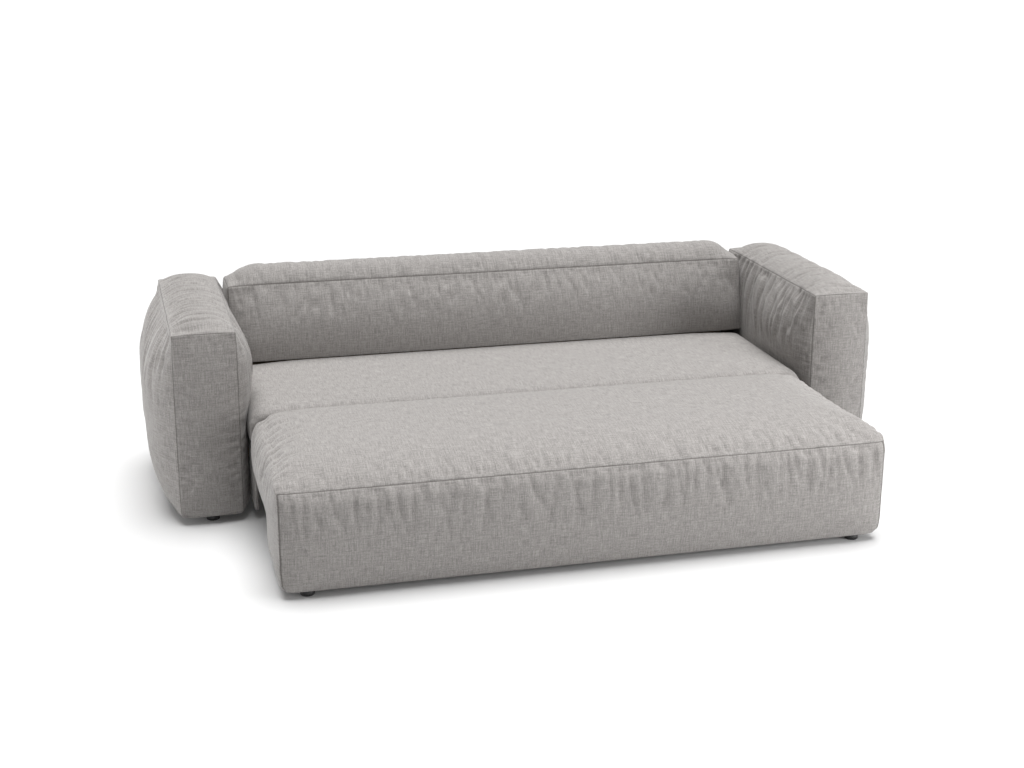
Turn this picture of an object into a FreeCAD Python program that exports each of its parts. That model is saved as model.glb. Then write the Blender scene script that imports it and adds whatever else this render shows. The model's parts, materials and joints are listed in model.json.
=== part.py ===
"""Sofa bed, opened out as a bed.

Two padded arms and a backrest stand on the floor. Between the arms lies the rear seat section,
and in front of them stands the front block, a seat on a front box. To make the sofa again, the
block lifts over on two pairs of swing arms and comes down between the arms, while the rear
section moves back and down under it on two pairs of lift links.

The frame: -Y towards the foot of the bed, +Z up, in millimetres, and left and right as seen from
the foot of the bed, with +X to the right. The origin is on the floor, under the middle of the
whole object.
"""

import FreeCAD, Part
import Sketcher
import math
import os
import re

doc = FreeCAD.newDocument("SofaBed")

# Driving dimensions, in millimetres and degrees
SIZES = [
    ("sofa_width", "2500"),            # over the outer seams of both arms
    ("ground_gap", "30"),              # height of the feet
    ("foot_diameter", "46"),
    ("foot_inset", "50"),
    ("face_bulge", "25"),              # how far padded end faces swell past their seams
    ("board", "18"),                   # thickness of boards
    ("padding", "27"),                 # foam and cover over a frame
    ("arm_width", "207.5"),
    ("arm_depth", "830"),
    ("arm_height", "673"),             # height of the top seams
    ("arm_crown", "40"),
    ("arm_outer_bulge", "100"),
    ("arm_inner_bulge", "30"),
    ("arm_post", "60"),
    ("arm_gap", "36.5"),               # between an arm and the base's side panel
    ("side_panel_thickness", "16"),
    ("side_panel_top", "250"),
    ("spacer_length", "60"),
    ("spacer_setback", "120"),
    ("spacer_low", "60"),
    ("spacer_high", "220"),
    ("tie_width", "40"),
    ("tie_thickness", "6"),
    ("tie_front_setback", "330"),
    ("tie_back_setback", "67"),        # from the back board
    ("back_cover_thickness", "15"),
    ("backrest_gap", "37.5"),          # between the backrest and an arm
    ("backrest_depth", "180"),         # between the top seams
    ("backrest_bottom", "405"),
    ("backrest_foot", "75"),           # how far the lower front edge stands before the top seam
    ("backrest_belly", "40"),
    ("backrest_crown", "52"),
    ("backrest_end_bulge", "8"),
    ("backrest_post", "45"),
    ("webbing_width", "50"),
    ("webbing_thickness", "2"),
    ("angle_leg", "40"),
    ("angle_thickness", "3"),
    ("angle_length", "100"),
    ("block_reach", "669"),            # from the arms' front seams to the block's front seams
    ("joint_gap", "10"),               # between the block and the rear section
    ("block_overhang", "17"),          # how far the top seams stand out past the block's sides
    ("block_side_bulge", "16"),
    ("block_back_bulge", "12"),
    ("block_flare", "258"),            # height where the sides start to swell
    ("block_underside", "185"),
    ("block_seam", "343"),             # height of the top seams
    ("block_shoulder", "52"),          # how far the top rises beside its seams
    ("block_shoulder_run", "250"),
    ("block_slope_bulge", "8"),
    ("block_crown", "10"),             # how far the top rises between its shoulders
    ("box_depth", "289"),
    ("block_foot_inset", "53"),
    ("box_round", "30"),
    ("block_deck", "250"),             # top of the block's timber
    ("block_cut_length", "90"),
    ("block_cut_height", "80"),
    ("rail", "25"),                    # thickness of the deck rails
    ("slat_width", "60"),
    ("slat_thickness", "12"),
    ("rear_overhang", "21"),           # of the rear cushion past its frame
    ("rear_end_bulge", "8"),
    ("rear_depth", "570"),
    ("rear_top", "392"),
    ("rear_crown", "8"),
    ("rear_edge_drop", "57"),          # of the front edge, which is rounded over
    ("rear_edge_length", "110"),
    ("rear_back_round", "15"),
    ("rear_frame_inset", "15"),
    ("rear_rail_width", "40"),
    ("rear_rail_height", "30"),
    ("travel", "580"),                 # how far the block moves between bed and sofa
    ("swing_angle", "70"),             # lean of the swing arms at both ends of the travel
    ("swing_setback", "50"),
    ("swing_spacing", "120"),
    ("swing_height", "99"),
    ("swing_bar_width", "34"),
    ("swing_bar_thickness", "8"),
    ("swing_pin", "16"),
    ("lift_setback", "230"),
    ("lift_spacing", "260"),
    ("lift_height", "50"),
    ("lift_length", "220"),
    ("lift_bar_width", "26"),
    ("lift_bar_thickness", "10"),
    ("lift_pin", "12"),
    ("lift_inset", "14"),              # from the block's side in to the lift links
    ("lift_frame_gap", "4"),           # between the lift links and the rear frame
    ("plate_thickness", "8"),
    ("block_plate_thickness", "4"),
    ("plate_margin", "19"),            # plate past the pin centres
    ("plate_corner", "10"),
    ("side_play", "1"),                # between parts that swing past each other
    ("end_play", "0.3"),               # beside a bar on its pin
    ("running_clearance", "0.05"),     # radial, pin in its bar
    ("open_clearance", "0.3"),         # radial, at the far pin of each second bar
    ("dust_cloth_thickness", "1"),
]

# Sizes and places that follow from the driving dimensions
PLACES = [
    ("half_width", "Sizes.sofa_width / 2"),
    ("arm_inner", "half_width - Sizes.arm_width"),
    ("arm_middle", "half_width - Sizes.arm_width / 2"),
    ("arm_front", "(Sizes.block_reach - Sizes.arm_depth) / 2"),
    ("arm_back", "arm_front + Sizes.arm_depth"),
    ("side_outer", "arm_inner - Sizes.arm_gap"),
    ("side_inner", "side_outer - Sizes.side_panel_thickness"),
    ("board_back", "arm_back - Sizes.back_cover_thickness"),
    ("board_front", "board_back - Sizes.board"),
    ("backrest_half", "arm_inner - Sizes.backrest_gap"),
    ("backrest_front", "arm_back - Sizes.backrest_depth"),
    ("block_front", "arm_front - Sizes.block_reach"),
    ("block_back", "arm_front - Sizes.joint_gap"),
    ("box_back", "block_front + Sizes.box_depth"),
    ("plate_face", "side_inner - Sizes.plate_thickness"),
    ("swing_bar_outer", "plate_face - Sizes.side_play"),
    ("swing_bar_inner", "swing_bar_outer - Sizes.swing_bar_thickness"),
    ("block_half", "swing_bar_inner - Sizes.side_play - Sizes.block_plate_thickness"),
    ("block_seam_half", "block_half + Sizes.block_overhang"),
    ("lift_bar_outer", "block_half - Sizes.lift_inset"),
    ("lift_bar_inner", "lift_bar_outer - Sizes.lift_bar_thickness"),
    ("deck_half", "block_half - Sizes.board"),
    ("deck_front", "block_front + Sizes.padding"),
    ("deck_back", "block_back - Sizes.block_cut_length"),
    ("box_inner_back", "box_back - Sizes.padding"),
    ("rear_front", "arm_front"),
    ("rear_back", "rear_front + Sizes.rear_depth"),
    ("rear_frame_half", "lift_bar_inner - Sizes.lift_frame_gap"),
    ("rear_half", "rear_frame_half + Sizes.rear_overhang"),
    ("swing_length", "Sizes.travel / 2 / sin(Sizes.swing_angle * 1deg)"),
    ("swing_rise", "Sizes.travel / 2 / tan(Sizes.swing_angle * 1deg)"),
    ("front_swing", "arm_front + Sizes.swing_setback"),
    ("rear_swing", "front_swing + Sizes.swing_spacing"),
    ("front_block_pin", "front_swing - Sizes.travel / 2"),
    ("rear_block_pin", "rear_swing - Sizes.travel / 2"),
    ("block_pin_height", "Sizes.swing_height + swing_rise"),
    ("front_lift", "arm_front + Sizes.lift_setback"),
    ("rear_lift", "front_lift + Sizes.lift_spacing"),
    ("lift_top", "Sizes.lift_height + Sizes.lift_length"),
    ("rear_frame_low", "lift_top - Sizes.rear_rail_height / 2"),
    ("rear_frame_high", "lift_top + Sizes.rear_rail_height / 2"),
]

SIDES = [("left", -1), ("right", 1)]


def make_sheets():
    """The driving sheet holds plain numbers, the second sheet works the places out from them."""
    driving = doc.addObject("Spreadsheet::Sheet", "Sizes")
    for row, (alias, number) in enumerate(SIZES, start=1):
        driving.set(f"A{row}", alias)
        driving.set(f"B{row}", number)
        driving.setAlias(f"B{row}", alias)
    derived = doc.addObject("Spreadsheet::Sheet", "Places")
    for row, (alias, formula) in enumerate(PLACES, start=1):
        derived.set(f"A{row}", alias)
        derived.setAlias(f"B{row}", alias)
        derived.set(f"B{row}", "=" + formula)
    doc.recompute()
    return driving, derived


sizes, places = make_sheets()
SIZE_NAMES = {alias for alias, number in SIZES}
PLACE_NAMES = {alias for alias, formula in PLACES}


def full(expression):
    """Put the sheet's name before each cell name of an expression."""
    def with_sheet(match):
        word = match.group(0)
        if word in SIZE_NAMES:
            return "Sizes." + word
        if word in PLACE_NAMES:
            return "Places." + word
        return word
    return re.sub(r"[a-z][a-z_]*", with_sheet, str(expression))


def size(alias):
    """The number that a cell of either sheet holds."""
    sheet = sizes if alias in SIZE_NAMES else places
    return float(sheet.get(alias))


def bind(thing, **expressions):
    """Bind properties of a document object to expressions over the sheets' cells."""
    for name, expression in expressions.items():
        thing.setExpression(name, full(expression))


def bind_base(thing, x, y, z):
    """Bind the place of a document object."""
    for axis, expression in zip("xyz", (x, y, z)):
        thing.setExpression(f".Placement.Base.{axis}", full(expression))


def sided(side, low, high):
    """A range along X on one side: side is -1 for left and 1 for right."""
    if side > 0:
        return low, high
    return f"-({high})", f"-({low})"


def brick(name, x, y, z):
    """A box between pairs of expressions (low, high)."""
    box = doc.addObject("Part::Box", name)
    bind(box,
         Length=f"({x[1]}) - ({x[0]})",
         Width=f"({y[1]}) - ({y[0]})",
         Height=f"({z[1]}) - ({z[0]})")
    bind_base(box, x[0], y[0], z[0])
    return box


def rod(name, radius, x, y, z):
    """A cylinder along X, from the low to the high expression of x."""
    cylinder = doc.addObject("Part::Cylinder", name)
    cylinder.Placement = FreeCAD.Placement(
        FreeCAD.Vector(), FreeCAD.Rotation(FreeCAD.Vector(0, 1, 0), 90))
    bind(cylinder, Radius=radius, Height=f"({x[1]}) - ({x[0]})")
    bind_base(cylinder, x[0], y, z)
    return cylinder


def cut(name, base, tool):
    result = doc.addObject("Part::Cut", name)
    result.Base = base
    result.Tool = tool
    return result


def fuse(name, pieces):
    result = doc.addObject("Part::MultiFuse", name)
    result.Shapes = pieces
    result.Refine = True
    return result


def group(name, pieces):
    """Separate solids that share one node."""
    result = doc.addObject("Part::Compound", name)
    result.Links = pieces
    return result


def solid(name, shape):
    """A Part::Feature that holds a shape made with Part's own functions."""
    feature = doc.addObject("Part::Feature", name)
    feature.Shape = shape
    return feature


def plate(name, x, y, z, corner):
    """A steel plate that faces along X, with its corners cropped."""
    blank = brick(name + "_blank", x, y, z)
    doc.recompute()
    cropped = doc.addObject("Part::Chamfer", name)
    cropped.Base = blank
    corners = []
    for number, edge in enumerate(blank.Shape.Edges, start=1):
        ends = [vertex.Point for vertex in edge.Vertexes]
        if abs(ends[0].x - ends[1].x) > 0.5 * edge.Length:
            corners.append((number, corner, corner))
    cropped.Edges = corners
    return cropped


# Padded forms: lofts through closed sections of lines and shallow arcs

def section(corners, sags, place):
    """A closed wire through corners, each side bulging outwards by its sag, put in place."""
    middle_u = sum(u for u, v in corners) / len(corners)
    middle_v = sum(v for u, v in corners) / len(corners)
    edges = []
    for number, (u0, v0) in enumerate(corners):
        u1, v1 = corners[(number + 1) % len(corners)]
        length = math.hypot(u1 - u0, v1 - v0)
        half_u = (u0 + u1) / 2
        half_v = (v0 + v1) / 2
        out_u = (v1 - v0) / length
        out_v = (u0 - u1) / length
        if out_u * (half_u - middle_u) + out_v * (half_v - middle_v) < 0:
            out_u, out_v = -out_u, -out_v
        start = place(u0, v0)
        end = place(u1, v1)
        if abs(sags[number]) < 0.01:
            edges.append(Part.LineSegment(start, end).toShape())
        else:
            top = place(half_u + out_u * sags[number], half_v + out_v * sags[number])
            edges.append(Part.Arc(start, top, end).toShape())
    return Part.Wire(edges)


def drawn_in(corners, amount):
    """Shrink an outline so that its box is smaller by the amount on every side."""
    shrunk = []
    for values in zip(*corners):
        middle = (min(values) + max(values)) / 2
        factor = 1 - 2 * amount / (max(values) - min(values))
        shrunk.append([middle + factor * (value - middle) for value in values])
    return list(zip(*shrunk))


# How far a domed end is drawn in, as a share of half its narrower side
END_INSET = 0.35

# How far the sides swell at shares of the length, from one seam to the other
SEAM_SWELL = 0.5
SWELL_STATIONS = [(0, SEAM_SWELL), (0.05, 0.85), (0.15, 1), (0.85, 1), (0.95, 0.85),
                  (1, SEAM_SWELL)]


def padded(corners, sags, low, high, bulge, place):
    """A padded form along one axis. Its sides swell most at mid length and are drawn in to the
    seams at both ends, and its end faces are domed by the bulge."""
    spans = [max(values) - min(values) for values in zip(*corners)]
    reach = min(spans) / 2
    wires = []

    def add(position, inset, swell):
        shape_corners = drawn_in(corners, inset * reach)
        wires.append(section(shape_corners, [sag * swell for sag in sags],
                             lambda u, v: place(u, v, position)))

    add(low - bulge, END_INSET, SEAM_SWELL)
    for share, swell in SWELL_STATIONS:
        add(low + share * (high - low), 0, swell)
    add(high + bulge, END_INSET, SEAM_SWELL)
    return Part.makeLoft(wires, True, True)


def along_y(u, v, position):
    """Sections in XZ planes, stacked along Y."""
    return FreeCAD.Vector(u, position, v)


def along_x(u, v, position):
    """Sections in YZ planes, stacked along X."""
    return FreeCAD.Vector(position, u, v)


# Arms

def arm_cover(name, side):
    """A padded arm: outer side, inner side and top swell between their seams. The inner side is
    flat up to the top of the seat's base. It is open below for its timber frame."""
    floor = size("ground_gap")
    inner = side * size("arm_inner")
    outer = side * size("half_width")
    corners = [(inner, floor), (outer, floor), (outer, size("arm_height")),
               (inner, size("arm_height")), (inner, size("side_panel_top"))]
    sags = [0, size("arm_outer_bulge"), size("arm_crown"), size("arm_inner_bulge"), 0]
    shape = padded(corners, sags, size("arm_front"), size("arm_back"), size("face_bulge"),
                   along_y)
    form = solid(name + "_form", shape)
    cavity = brick(name + "_cavity",
                   sided(side, "arm_inner + padding", "half_width - padding"),
                   ("arm_front + padding", "arm_back - padding"),
                   ("0", "arm_height - padding"))
    return cut(name, form, cavity)


def arm_frame(name, side):
    """Timber inside an arm: a ring of boards, a post and a low inner board for the base."""
    across = sided(side, "arm_inner + padding", "half_width - padding")
    low = "ground_gap"
    high = "arm_height - padding"
    front = "arm_front + padding"
    back = "arm_back - padding"
    ring = cut(name + "_ring",
               brick(name + "_blank", across, (front, back), (low, high)),
               brick(name + "_window", across, (f"{front} + board", f"{back} - board"),
                     (f"{low} + board", f"{high} - board")))
    post = brick(name + "_post", across,
                 (f"({front} + {back} - arm_post) / 2", f"({front} + {back} + arm_post) / 2"),
                 (f"{low} + board", f"{high} - board"))
    inner_board = brick(name + "_inner_board",
                        sided(side, "arm_inner + padding", "arm_inner + padding + board"),
                        (f"{front} + board", f"{back} - board"),
                        (f"{low} + board", "side_panel_top"))
    return fuse(name, [ring, post, inner_board])


def foot(name, x, y):
    """A round glide, from the floor to the underside of the timber."""
    glide = doc.addObject("Part::Cylinder", name)
    bind(glide, Radius="foot_diameter / 2", Height="ground_gap")
    bind_base(glide, x, y, "0")
    return glide


def feet(name, spots):
    return group(name, [foot(f"{name}_{number}", x, y)
                        for number, (x, y) in enumerate(spots, start=1)])


# Base between the arms

def side_panel(name, side):
    return brick(name, sided(side, "side_inner", "side_outer"), ("arm_front", "board_front"),
                 ("ground_gap", "side_panel_top"))


def spacers(name, side):
    """Battens that hold the base's side panel to the arm."""
    rows = [("arm_front + spacer_setback", "arm_front + spacer_setback + spacer_length"),
            ("board_front - spacer_setback - spacer_length", "board_front - spacer_setback")]
    return group(name, [brick(f"{name}_{number}", sided(side, "side_outer", "arm_inner"), row,
                              ("spacer_low", "spacer_high"))
                        for number, row in enumerate(rows, start=1)])


def tie_bars(name):
    """Flat steel across the base, under the side panels."""
    front = "arm_front + tie_front_setback"
    back = "board_front - tie_back_setback"
    rows = [(front, f"{front} + tie_width"), (f"{back} - tie_width", back)]
    return group(name, [brick(f"{name}_{number}", ("-side_outer", "side_outer"), row,
                              ("ground_gap - tie_thickness", "ground_gap"))
                        for number, row in enumerate(rows, start=1)])


# Backrest

def backrest_cover(name):
    """The backrest's padding. Its front swells into a belly, its top is crowned, and it is open
    below for its frame."""
    low = size("backrest_bottom")
    high = size("arm_height")
    back = size("arm_back")
    front = size("backrest_front")
    corners = [(front - size("backrest_foot"), low), (back, low), (back, high), (front, high)]
    sags = [0, 0, size("backrest_crown"), size("backrest_belly")]
    half = size("backrest_half")
    bulge = size("backrest_end_bulge")
    shape = padded(corners, sags, -half + bulge, half - bulge, bulge, along_x)
    form = solid(name + "_form", shape)
    cavity = brick(name + "_cavity", ("padding - backrest_half", "backrest_half - padding"),
                   ("backrest_front + padding", "board_back"),
                   ("backrest_bottom - 1", "arm_height - padding"))
    return cut(name, form, cavity)


BACKREST_POSTS = 5


def backrest_frame(name):
    """Timber inside the backrest: two rails and the posts between them."""
    across = ("padding - backrest_half", "backrest_half - padding")
    front = "backrest_front + padding + webbing_thickness"
    lower_rail = brick(name + "_lower_rail", across, (front, "board_back"),
                       ("backrest_bottom", "backrest_bottom + board"))
    upper_rail = brick(name + "_upper_rail", across, (front, f"{front} + backrest_post"),
                       ("arm_height - padding - backrest_post", "arm_height - padding"))
    pieces = [lower_rail, upper_rail]
    for number in range(BACKREST_POSTS):
        share = number / (BACKREST_POSTS - 1)
        left = (f"padding - backrest_half + {share}"
                " * (2 * backrest_half - 2 * padding - backrest_post)")
        pieces.append(brick(f"{name}_post_{number + 1}", (left, f"{left} + backrest_post"),
                            (front, f"{front} + backrest_post"),
                            ("backrest_bottom + board",
                             "arm_height - padding - backrest_post")))
    return fuse(name, pieces)


WEBBING_BANDS = 3


def backrest_webbing(name):
    """Elastic bands stretched over the front of the posts."""
    front = "backrest_front + padding"
    bands = []
    for number in range(WEBBING_BANDS):
        share = (number + 1) / (WEBBING_BANDS + 1)
        middle = f"backrest_bottom + {share} * (arm_height - padding - backrest_bottom)"
        bands.append(brick(f"{name}_{number + 1}",
                           ("padding - backrest_half", "backrest_half - padding"),
                           (front, front + " + webbing_thickness"),
                           (f"{middle} - webbing_width / 2", f"{middle} + webbing_width / 2")))
    return group(name, bands)


def angle_brackets(name):
    """Steel angles that screw the backrest's lower rail to the back board."""
    spots = ["-0.75", "-0.25", "0.25", "0.75"]
    pieces = []
    for number, spot in enumerate(spots, start=1):
        middle = f"{spot} * backrest_half"
        across = (f"{middle} - angle_length / 2", f"{middle} + angle_length / 2")
        flat = brick(f"{name}_{number}_flat", across, ("board_front - angle_leg", "board_front"),
                     ("backrest_bottom - angle_thickness", "backrest_bottom"))
        upright = brick(f"{name}_{number}_upright", across,
                        ("board_front - angle_thickness", "board_front"),
                        ("backrest_bottom - angle_leg", "backrest_bottom"))
        pieces.append(fuse(f"{name}_{number}", [flat, upright]))
    return group(name, pieces)


# Front block

# How far the block's top and sides swell at shares of its depth, from its front seam
BLOCK_SWELL = [(0, 0.05), (0.08, 0.4), (0.22, 0.8), (0.36, 1), (0.75, 1), (1, 0.7)]


def block_cover(name):
    """The block's padding, L-shaped from the side: a front box and a seat slab behind it. The
    top is crowned, the sides swell above the base's side panels, the front is domed. It is open
    below for its timber, and its lower back edge is cut away to pass the rear section."""
    floor = size("ground_gap")
    under = size("block_underside")
    front = size("block_front")
    box_back = size("box_back")
    seam_back = size("block_back") - size("block_back_bulge")
    depth = seam_back - front
    side_bulge = size("block_side_bulge")
    slope_bulge = size("block_slope_bulge")
    sags = [0, 0, side_bulge, slope_bulge, size("block_crown"), slope_bulge, side_bulge, 0]

    def profile(position, base, inset, swell):
        half = size("block_half")
        seam_half = size("block_seam_half")
        flare = size("block_flare")
        seam = size("block_seam")
        run = seam_half - size("block_shoulder_run")
        rise = seam + swell * size("block_shoulder")
        corners = [(-half, base), (half, base), (half, flare), (seam_half, seam), (run, rise),
                   (-run, rise), (-seam_half, seam), (-half, flare)]
        return section(drawn_in(corners, inset), [sag * swell for sag in sags],
                       lambda u, v: along_y(u, v, position))

    reach = (size("block_seam") - floor) / 2
    first_swell = BLOCK_SWELL[0][1]
    box_wires = [profile(front - size("face_bulge"), floor, END_INSET * reach, first_swell)]
    edge = size("box_round")
    for share, swell in BLOCK_SWELL:
        if share * depth < size("box_depth") - edge:
            box_wires.append(profile(front + share * depth, floor, 0, swell))
    for angle in (0, 30, 60, 90):
        position = box_back - edge * (1 - math.sin(math.radians(angle)))
        base = floor + edge * (1 - math.cos(math.radians(angle)))
        box_wires.append(profile(position, base, 0, 1))

    slab_wires = [profile(box_back, under, 0, 1)]
    for share, swell in BLOCK_SWELL:
        if share * depth > size("box_depth"):
            slab_wires.append(profile(front + share * depth, under, 0, swell))
    reach = (size("block_seam") - under) / 2
    last_swell = BLOCK_SWELL[-1][1]
    slab_wires.append(profile(seam_back + size("block_back_bulge"), under, END_INSET * reach,
                              last_swell))

    box_part = solid(name + "_box_form", Part.makeLoft(box_wires, True, True))
    slab_part = solid(name + "_slab_form", Part.makeLoft(slab_wires, True, True))
    form = doc.addObject("Part::MultiFuse", name + "_form")
    form.Shapes = [box_part, slab_part]

    across = ("-deck_half", "deck_half")
    deck_cavity = brick(name + "_deck_cavity", across, ("deck_front", "deck_back"),
                        ("block_underside - 1", "block_deck"))
    box_cavity = brick(name + "_box_cavity", across, ("deck_front", "box_inner_back"),
                       ("ground_gap - 1", "block_underside"))
    cavities = fuse(name + "_cavities", [deck_cavity, box_cavity, edge_cut(name + "_edge_cut")])
    return cut(name, form, cavities)


def edge_cut(name):
    """The wedge that takes the slab's lower back edge away."""
    half = size("block_seam_half") + size("block_side_bulge")
    start = size("block_back") - size("block_cut_length")
    past = 2 * size("joint_gap")
    slope = size("block_cut_height") / size("block_cut_length")
    low = size("block_underside") - slope * past
    high = size("block_underside") + slope * (size("block_cut_length") + past)
    end = size("block_back") + past
    points = [(start - past, low), (end, low), (end, high)]
    wire = Part.makePolygon([along_x(y, z, -half) for y, z in points + points[:1]])
    return solid(name, Part.Face(wire).extrude(FreeCAD.Vector(2 * half, 0, 0)))


def block_box(name):
    """Boards of the front box, open at the top under the deck."""
    outer = brick(name + "_blank", ("-deck_half", "deck_half"), ("deck_front", "box_inner_back"),
                  ("ground_gap", "block_underside"))
    inner = brick(name + "_inside", ("board - deck_half", "deck_half - board"),
                  ("deck_front + board", "box_inner_back - board"),
                  ("ground_gap + board", "block_underside + 1"))
    return cut(name, outer, inner)


def block_deck(name):
    """Rails around the seat and one across the middle, which carries the slats."""
    blank = brick(name + "_blank", ("-deck_half", "deck_half"), ("deck_front", "deck_back"),
                  ("block_underside", "block_deck"))
    window = brick(name + "_window", ("rail - deck_half", "deck_half - rail"),
                   ("deck_front + rail", "deck_back - rail"),
                   ("block_underside - 1", "block_deck + 1"))
    middle = brick(name + "_middle_rail", ("rail - deck_half", "deck_half - rail"),
                   ("(deck_front + deck_back - rail) / 2", "(deck_front + deck_back + rail) / 2"),
                   ("block_underside", "block_deck - slat_thickness"))
    return fuse(name, [cut(name + "_ring", blank, window), middle])


SLATS = 12


def slats(name, half, y, top):
    """Slats that run from the front rail to the back rail, level with the rails' tops."""
    pieces = []
    for number in range(SLATS):
        share = (number + 0.5) / SLATS
        left = f"{share} * 2 * ({half}) - ({half}) - slat_width / 2"
        pieces.append(brick(f"{name}_{number + 1}", (left, f"{left} + slat_width"), y,
                            (f"{top} - slat_thickness", top)))
    return group(name, pieces)


def block_bracket(name, side):
    """A steel plate on the block's side with the two pins that the swing arms hold."""
    back = plate(name + "_plate",
                 sided(side, "block_half", "block_half + block_plate_thickness"),
                 ("front_block_pin - plate_margin", "rear_block_pin + plate_margin"),
                 ("block_pin_height - plate_margin", "block_pin_height + plate_margin"),
                 size("plate_corner"))
    pieces = [back]
    for end in ("front", "rear"):
        pieces.append(rod(f"{name}_{end}_pin", "swing_pin / 2",
                          sided(side, "block_half", "swing_bar_outer + side_play"),
                          f"{end}_block_pin", "block_pin_height"))
    return fuse(name, pieces)


# Rear section

def rear_cushion(name):
    """The rear seat cushion: flat below, crowned above, with a rounded front edge."""
    low = size("rear_frame_high")
    top = size("rear_top")
    front = size("rear_front")
    back = size("rear_back")
    drop = size("rear_edge_drop")
    length = size("rear_edge_length")
    back_round = size("rear_back_round")
    corners = [(front, low), (back, low), (back, top - back_round), (back - back_round, top),
               (front + length, top), (front, top - drop)]
    sags = [0, 0, back_round / 5, size("rear_crown"), drop / 3, 0]
    half = size("rear_half")
    bulge = size("rear_end_bulge")
    shape = padded(corners, sags, -half + bulge, half - bulge, bulge, along_x)
    return solid(name, shape)


def rear_frame(name):
    """Rails around the rear section, with one across the middle under the slats."""
    front = "rear_front + rear_frame_inset"
    back = "rear_back - rear_frame_inset"
    height = ("rear_frame_low", "rear_frame_high")
    across = ("rear_rail_width - rear_frame_half", "rear_frame_half - rear_rail_width")
    blank = brick(name + "_blank", ("-rear_frame_half", "rear_frame_half"), (front, back), height)
    window = brick(name + "_window", across,
                   (f"{front} + rear_rail_width", f"{back} - rear_rail_width"),
                   ("rear_frame_low - 1", "rear_frame_high + 1"))
    middle = brick(name + "_middle_rail", across,
                   ("(rear_front + rear_back - rear_rail_width) / 2",
                    "(rear_front + rear_back + rear_rail_width) / 2"),
                   ("rear_frame_low", "rear_frame_high - slat_thickness"))
    return fuse(name, [cut(name + "_ring", blank, window), middle])


def rear_pins(name, side):
    """Two pins on the rear frame's side, which the lift links hold."""
    return group(name, [rod(f"{name}_{end}", "lift_pin / 2",
                            sided(side, "rear_frame_half", "lift_bar_outer + end_play"),
                            f"{end}_lift", "lift_top")
                        for end in ("front", "rear")])


# Mechanism on the base

def swing_bracket(name, side):
    """A plate on the base's side panel, behind the swing arms' pins."""
    return plate(name, sided(side, "plate_face", "side_inner"),
                 ("front_swing - plate_margin", "rear_swing + plate_margin"),
                 ("swing_height - plate_margin", "swing_height + plate_margin"),
                 size("plate_corner"))


def swing_pins(name, side):
    """The pins that both swing arms turn on."""
    return group(name, [rod(f"{name}_{end}", "swing_pin / 2",
                            sided(side, "swing_bar_inner", "plate_face"),
                            f"{end}_swing", "swing_height")
                        for end in ("front", "rear")])


def lift_bracket(name, side):
    """A bar along the base's side panel, thick enough to hold the lift links inside the path
    of the swing arms, and low enough for the rear section to come down over it."""
    return plate(name, sided(side, "lift_bar_outer + end_play", "side_inner"),
                 ("front_lift - plate_margin", "rear_lift + plate_margin"),
                 ("lift_height - lift_bar_width / 2", "lift_height + lift_bar_width / 2"),
                 size("plate_corner"))


def lift_pins(name, side):
    """The pins that both lift links turn on."""
    return group(name, [rod(f"{name}_{end}", "lift_pin / 2",
                            sided(side, "lift_bar_inner", "lift_bar_outer + end_play"),
                            f"{end}_lift", "lift_height")
                        for end in ("front", "rear")])


def bar(name, length, width, thickness, low_bore, high_bore, x, y, z, lean=0):
    """A flat steel bar with round ends and a bore at each end, drawn upright from its lower
    bore and then leaned forwards by an angle in degrees. Its length and width are cells."""
    radius = size(width) / 2
    body = doc.addObject("PartDesign::Body", name)
    sketch = body.newObject("Sketcher::SketchObject", name + "_outline")
    side_plane = [plane for plane in body.Origin.OriginFeatures if plane.Role == "YZ_Plane"][0]
    sketch.AttachmentSupport = [(side_plane, "")]
    sketch.MapMode = "FlatFace"
    up = FreeCAD.Vector(0, size(length), 0)
    out = FreeCAD.Vector(0, 0, 1)
    right = FreeCAD.Vector(radius, 0, 0)
    origin = FreeCAD.Vector()
    low_end = sketch.addGeometry(Part.ArcOfCircle(Part.Circle(origin, out, radius), math.pi,
                                                  2 * math.pi))
    right_edge = sketch.addGeometry(Part.LineSegment(right, right + up))
    high_end = sketch.addGeometry(Part.ArcOfCircle(Part.Circle(up, out, radius), 0, math.pi))
    left_edge = sketch.addGeometry(Part.LineSegment(up - right, origin - right))
    low_hole = sketch.addGeometry(Part.Circle(origin, out, radius / 2))
    high_hole = sketch.addGeometry(Part.Circle(up, out, radius / 2))
    add = sketch.addConstraint
    add(Sketcher.Constraint("Coincident", low_end, 3, -1, 1))
    add(Sketcher.Constraint("Tangent", low_end, 2, right_edge, 1))
    add(Sketcher.Constraint("Tangent", right_edge, 2, high_end, 1))
    add(Sketcher.Constraint("Tangent", high_end, 2, left_edge, 1))
    add(Sketcher.Constraint("Tangent", left_edge, 2, low_end, 1))
    add(Sketcher.Constraint("PointOnObject", high_end, 3, -2))
    add(Sketcher.Constraint("Vertical", right_edge))
    add(Sketcher.Constraint("Coincident", low_hole, 3, low_end, 3))
    add(Sketcher.Constraint("Coincident", high_hole, 3, high_end, 3))
    span = Sketcher.Constraint("DistanceY", low_end, 3, high_end, 3, up.y)
    named = [("length", span, length),
             ("end_radius", Sketcher.Constraint("Radius", low_end, radius), f"{width} / 2"),
             ("low_bore", Sketcher.Constraint("Radius", low_hole, radius / 2), low_bore),
             ("high_bore", Sketcher.Constraint("Radius", high_hole, radius / 2), high_bore)]
    for title, constraint, expression in named:
        sketch.renameConstraint(add(constraint), title)
        sketch.setExpression(f"Constraints.{title}", full(expression))
    pad = body.newObject("PartDesign::Pad", name + "_pad")
    pad.Profile = sketch
    bind(pad, Length=thickness)
    body.Placement = FreeCAD.Placement(FreeCAD.Vector(),
                                       FreeCAD.Rotation(FreeCAD.Vector(1, 0, 0), lean))
    bind_base(body, x, y, z)
    return body


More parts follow.
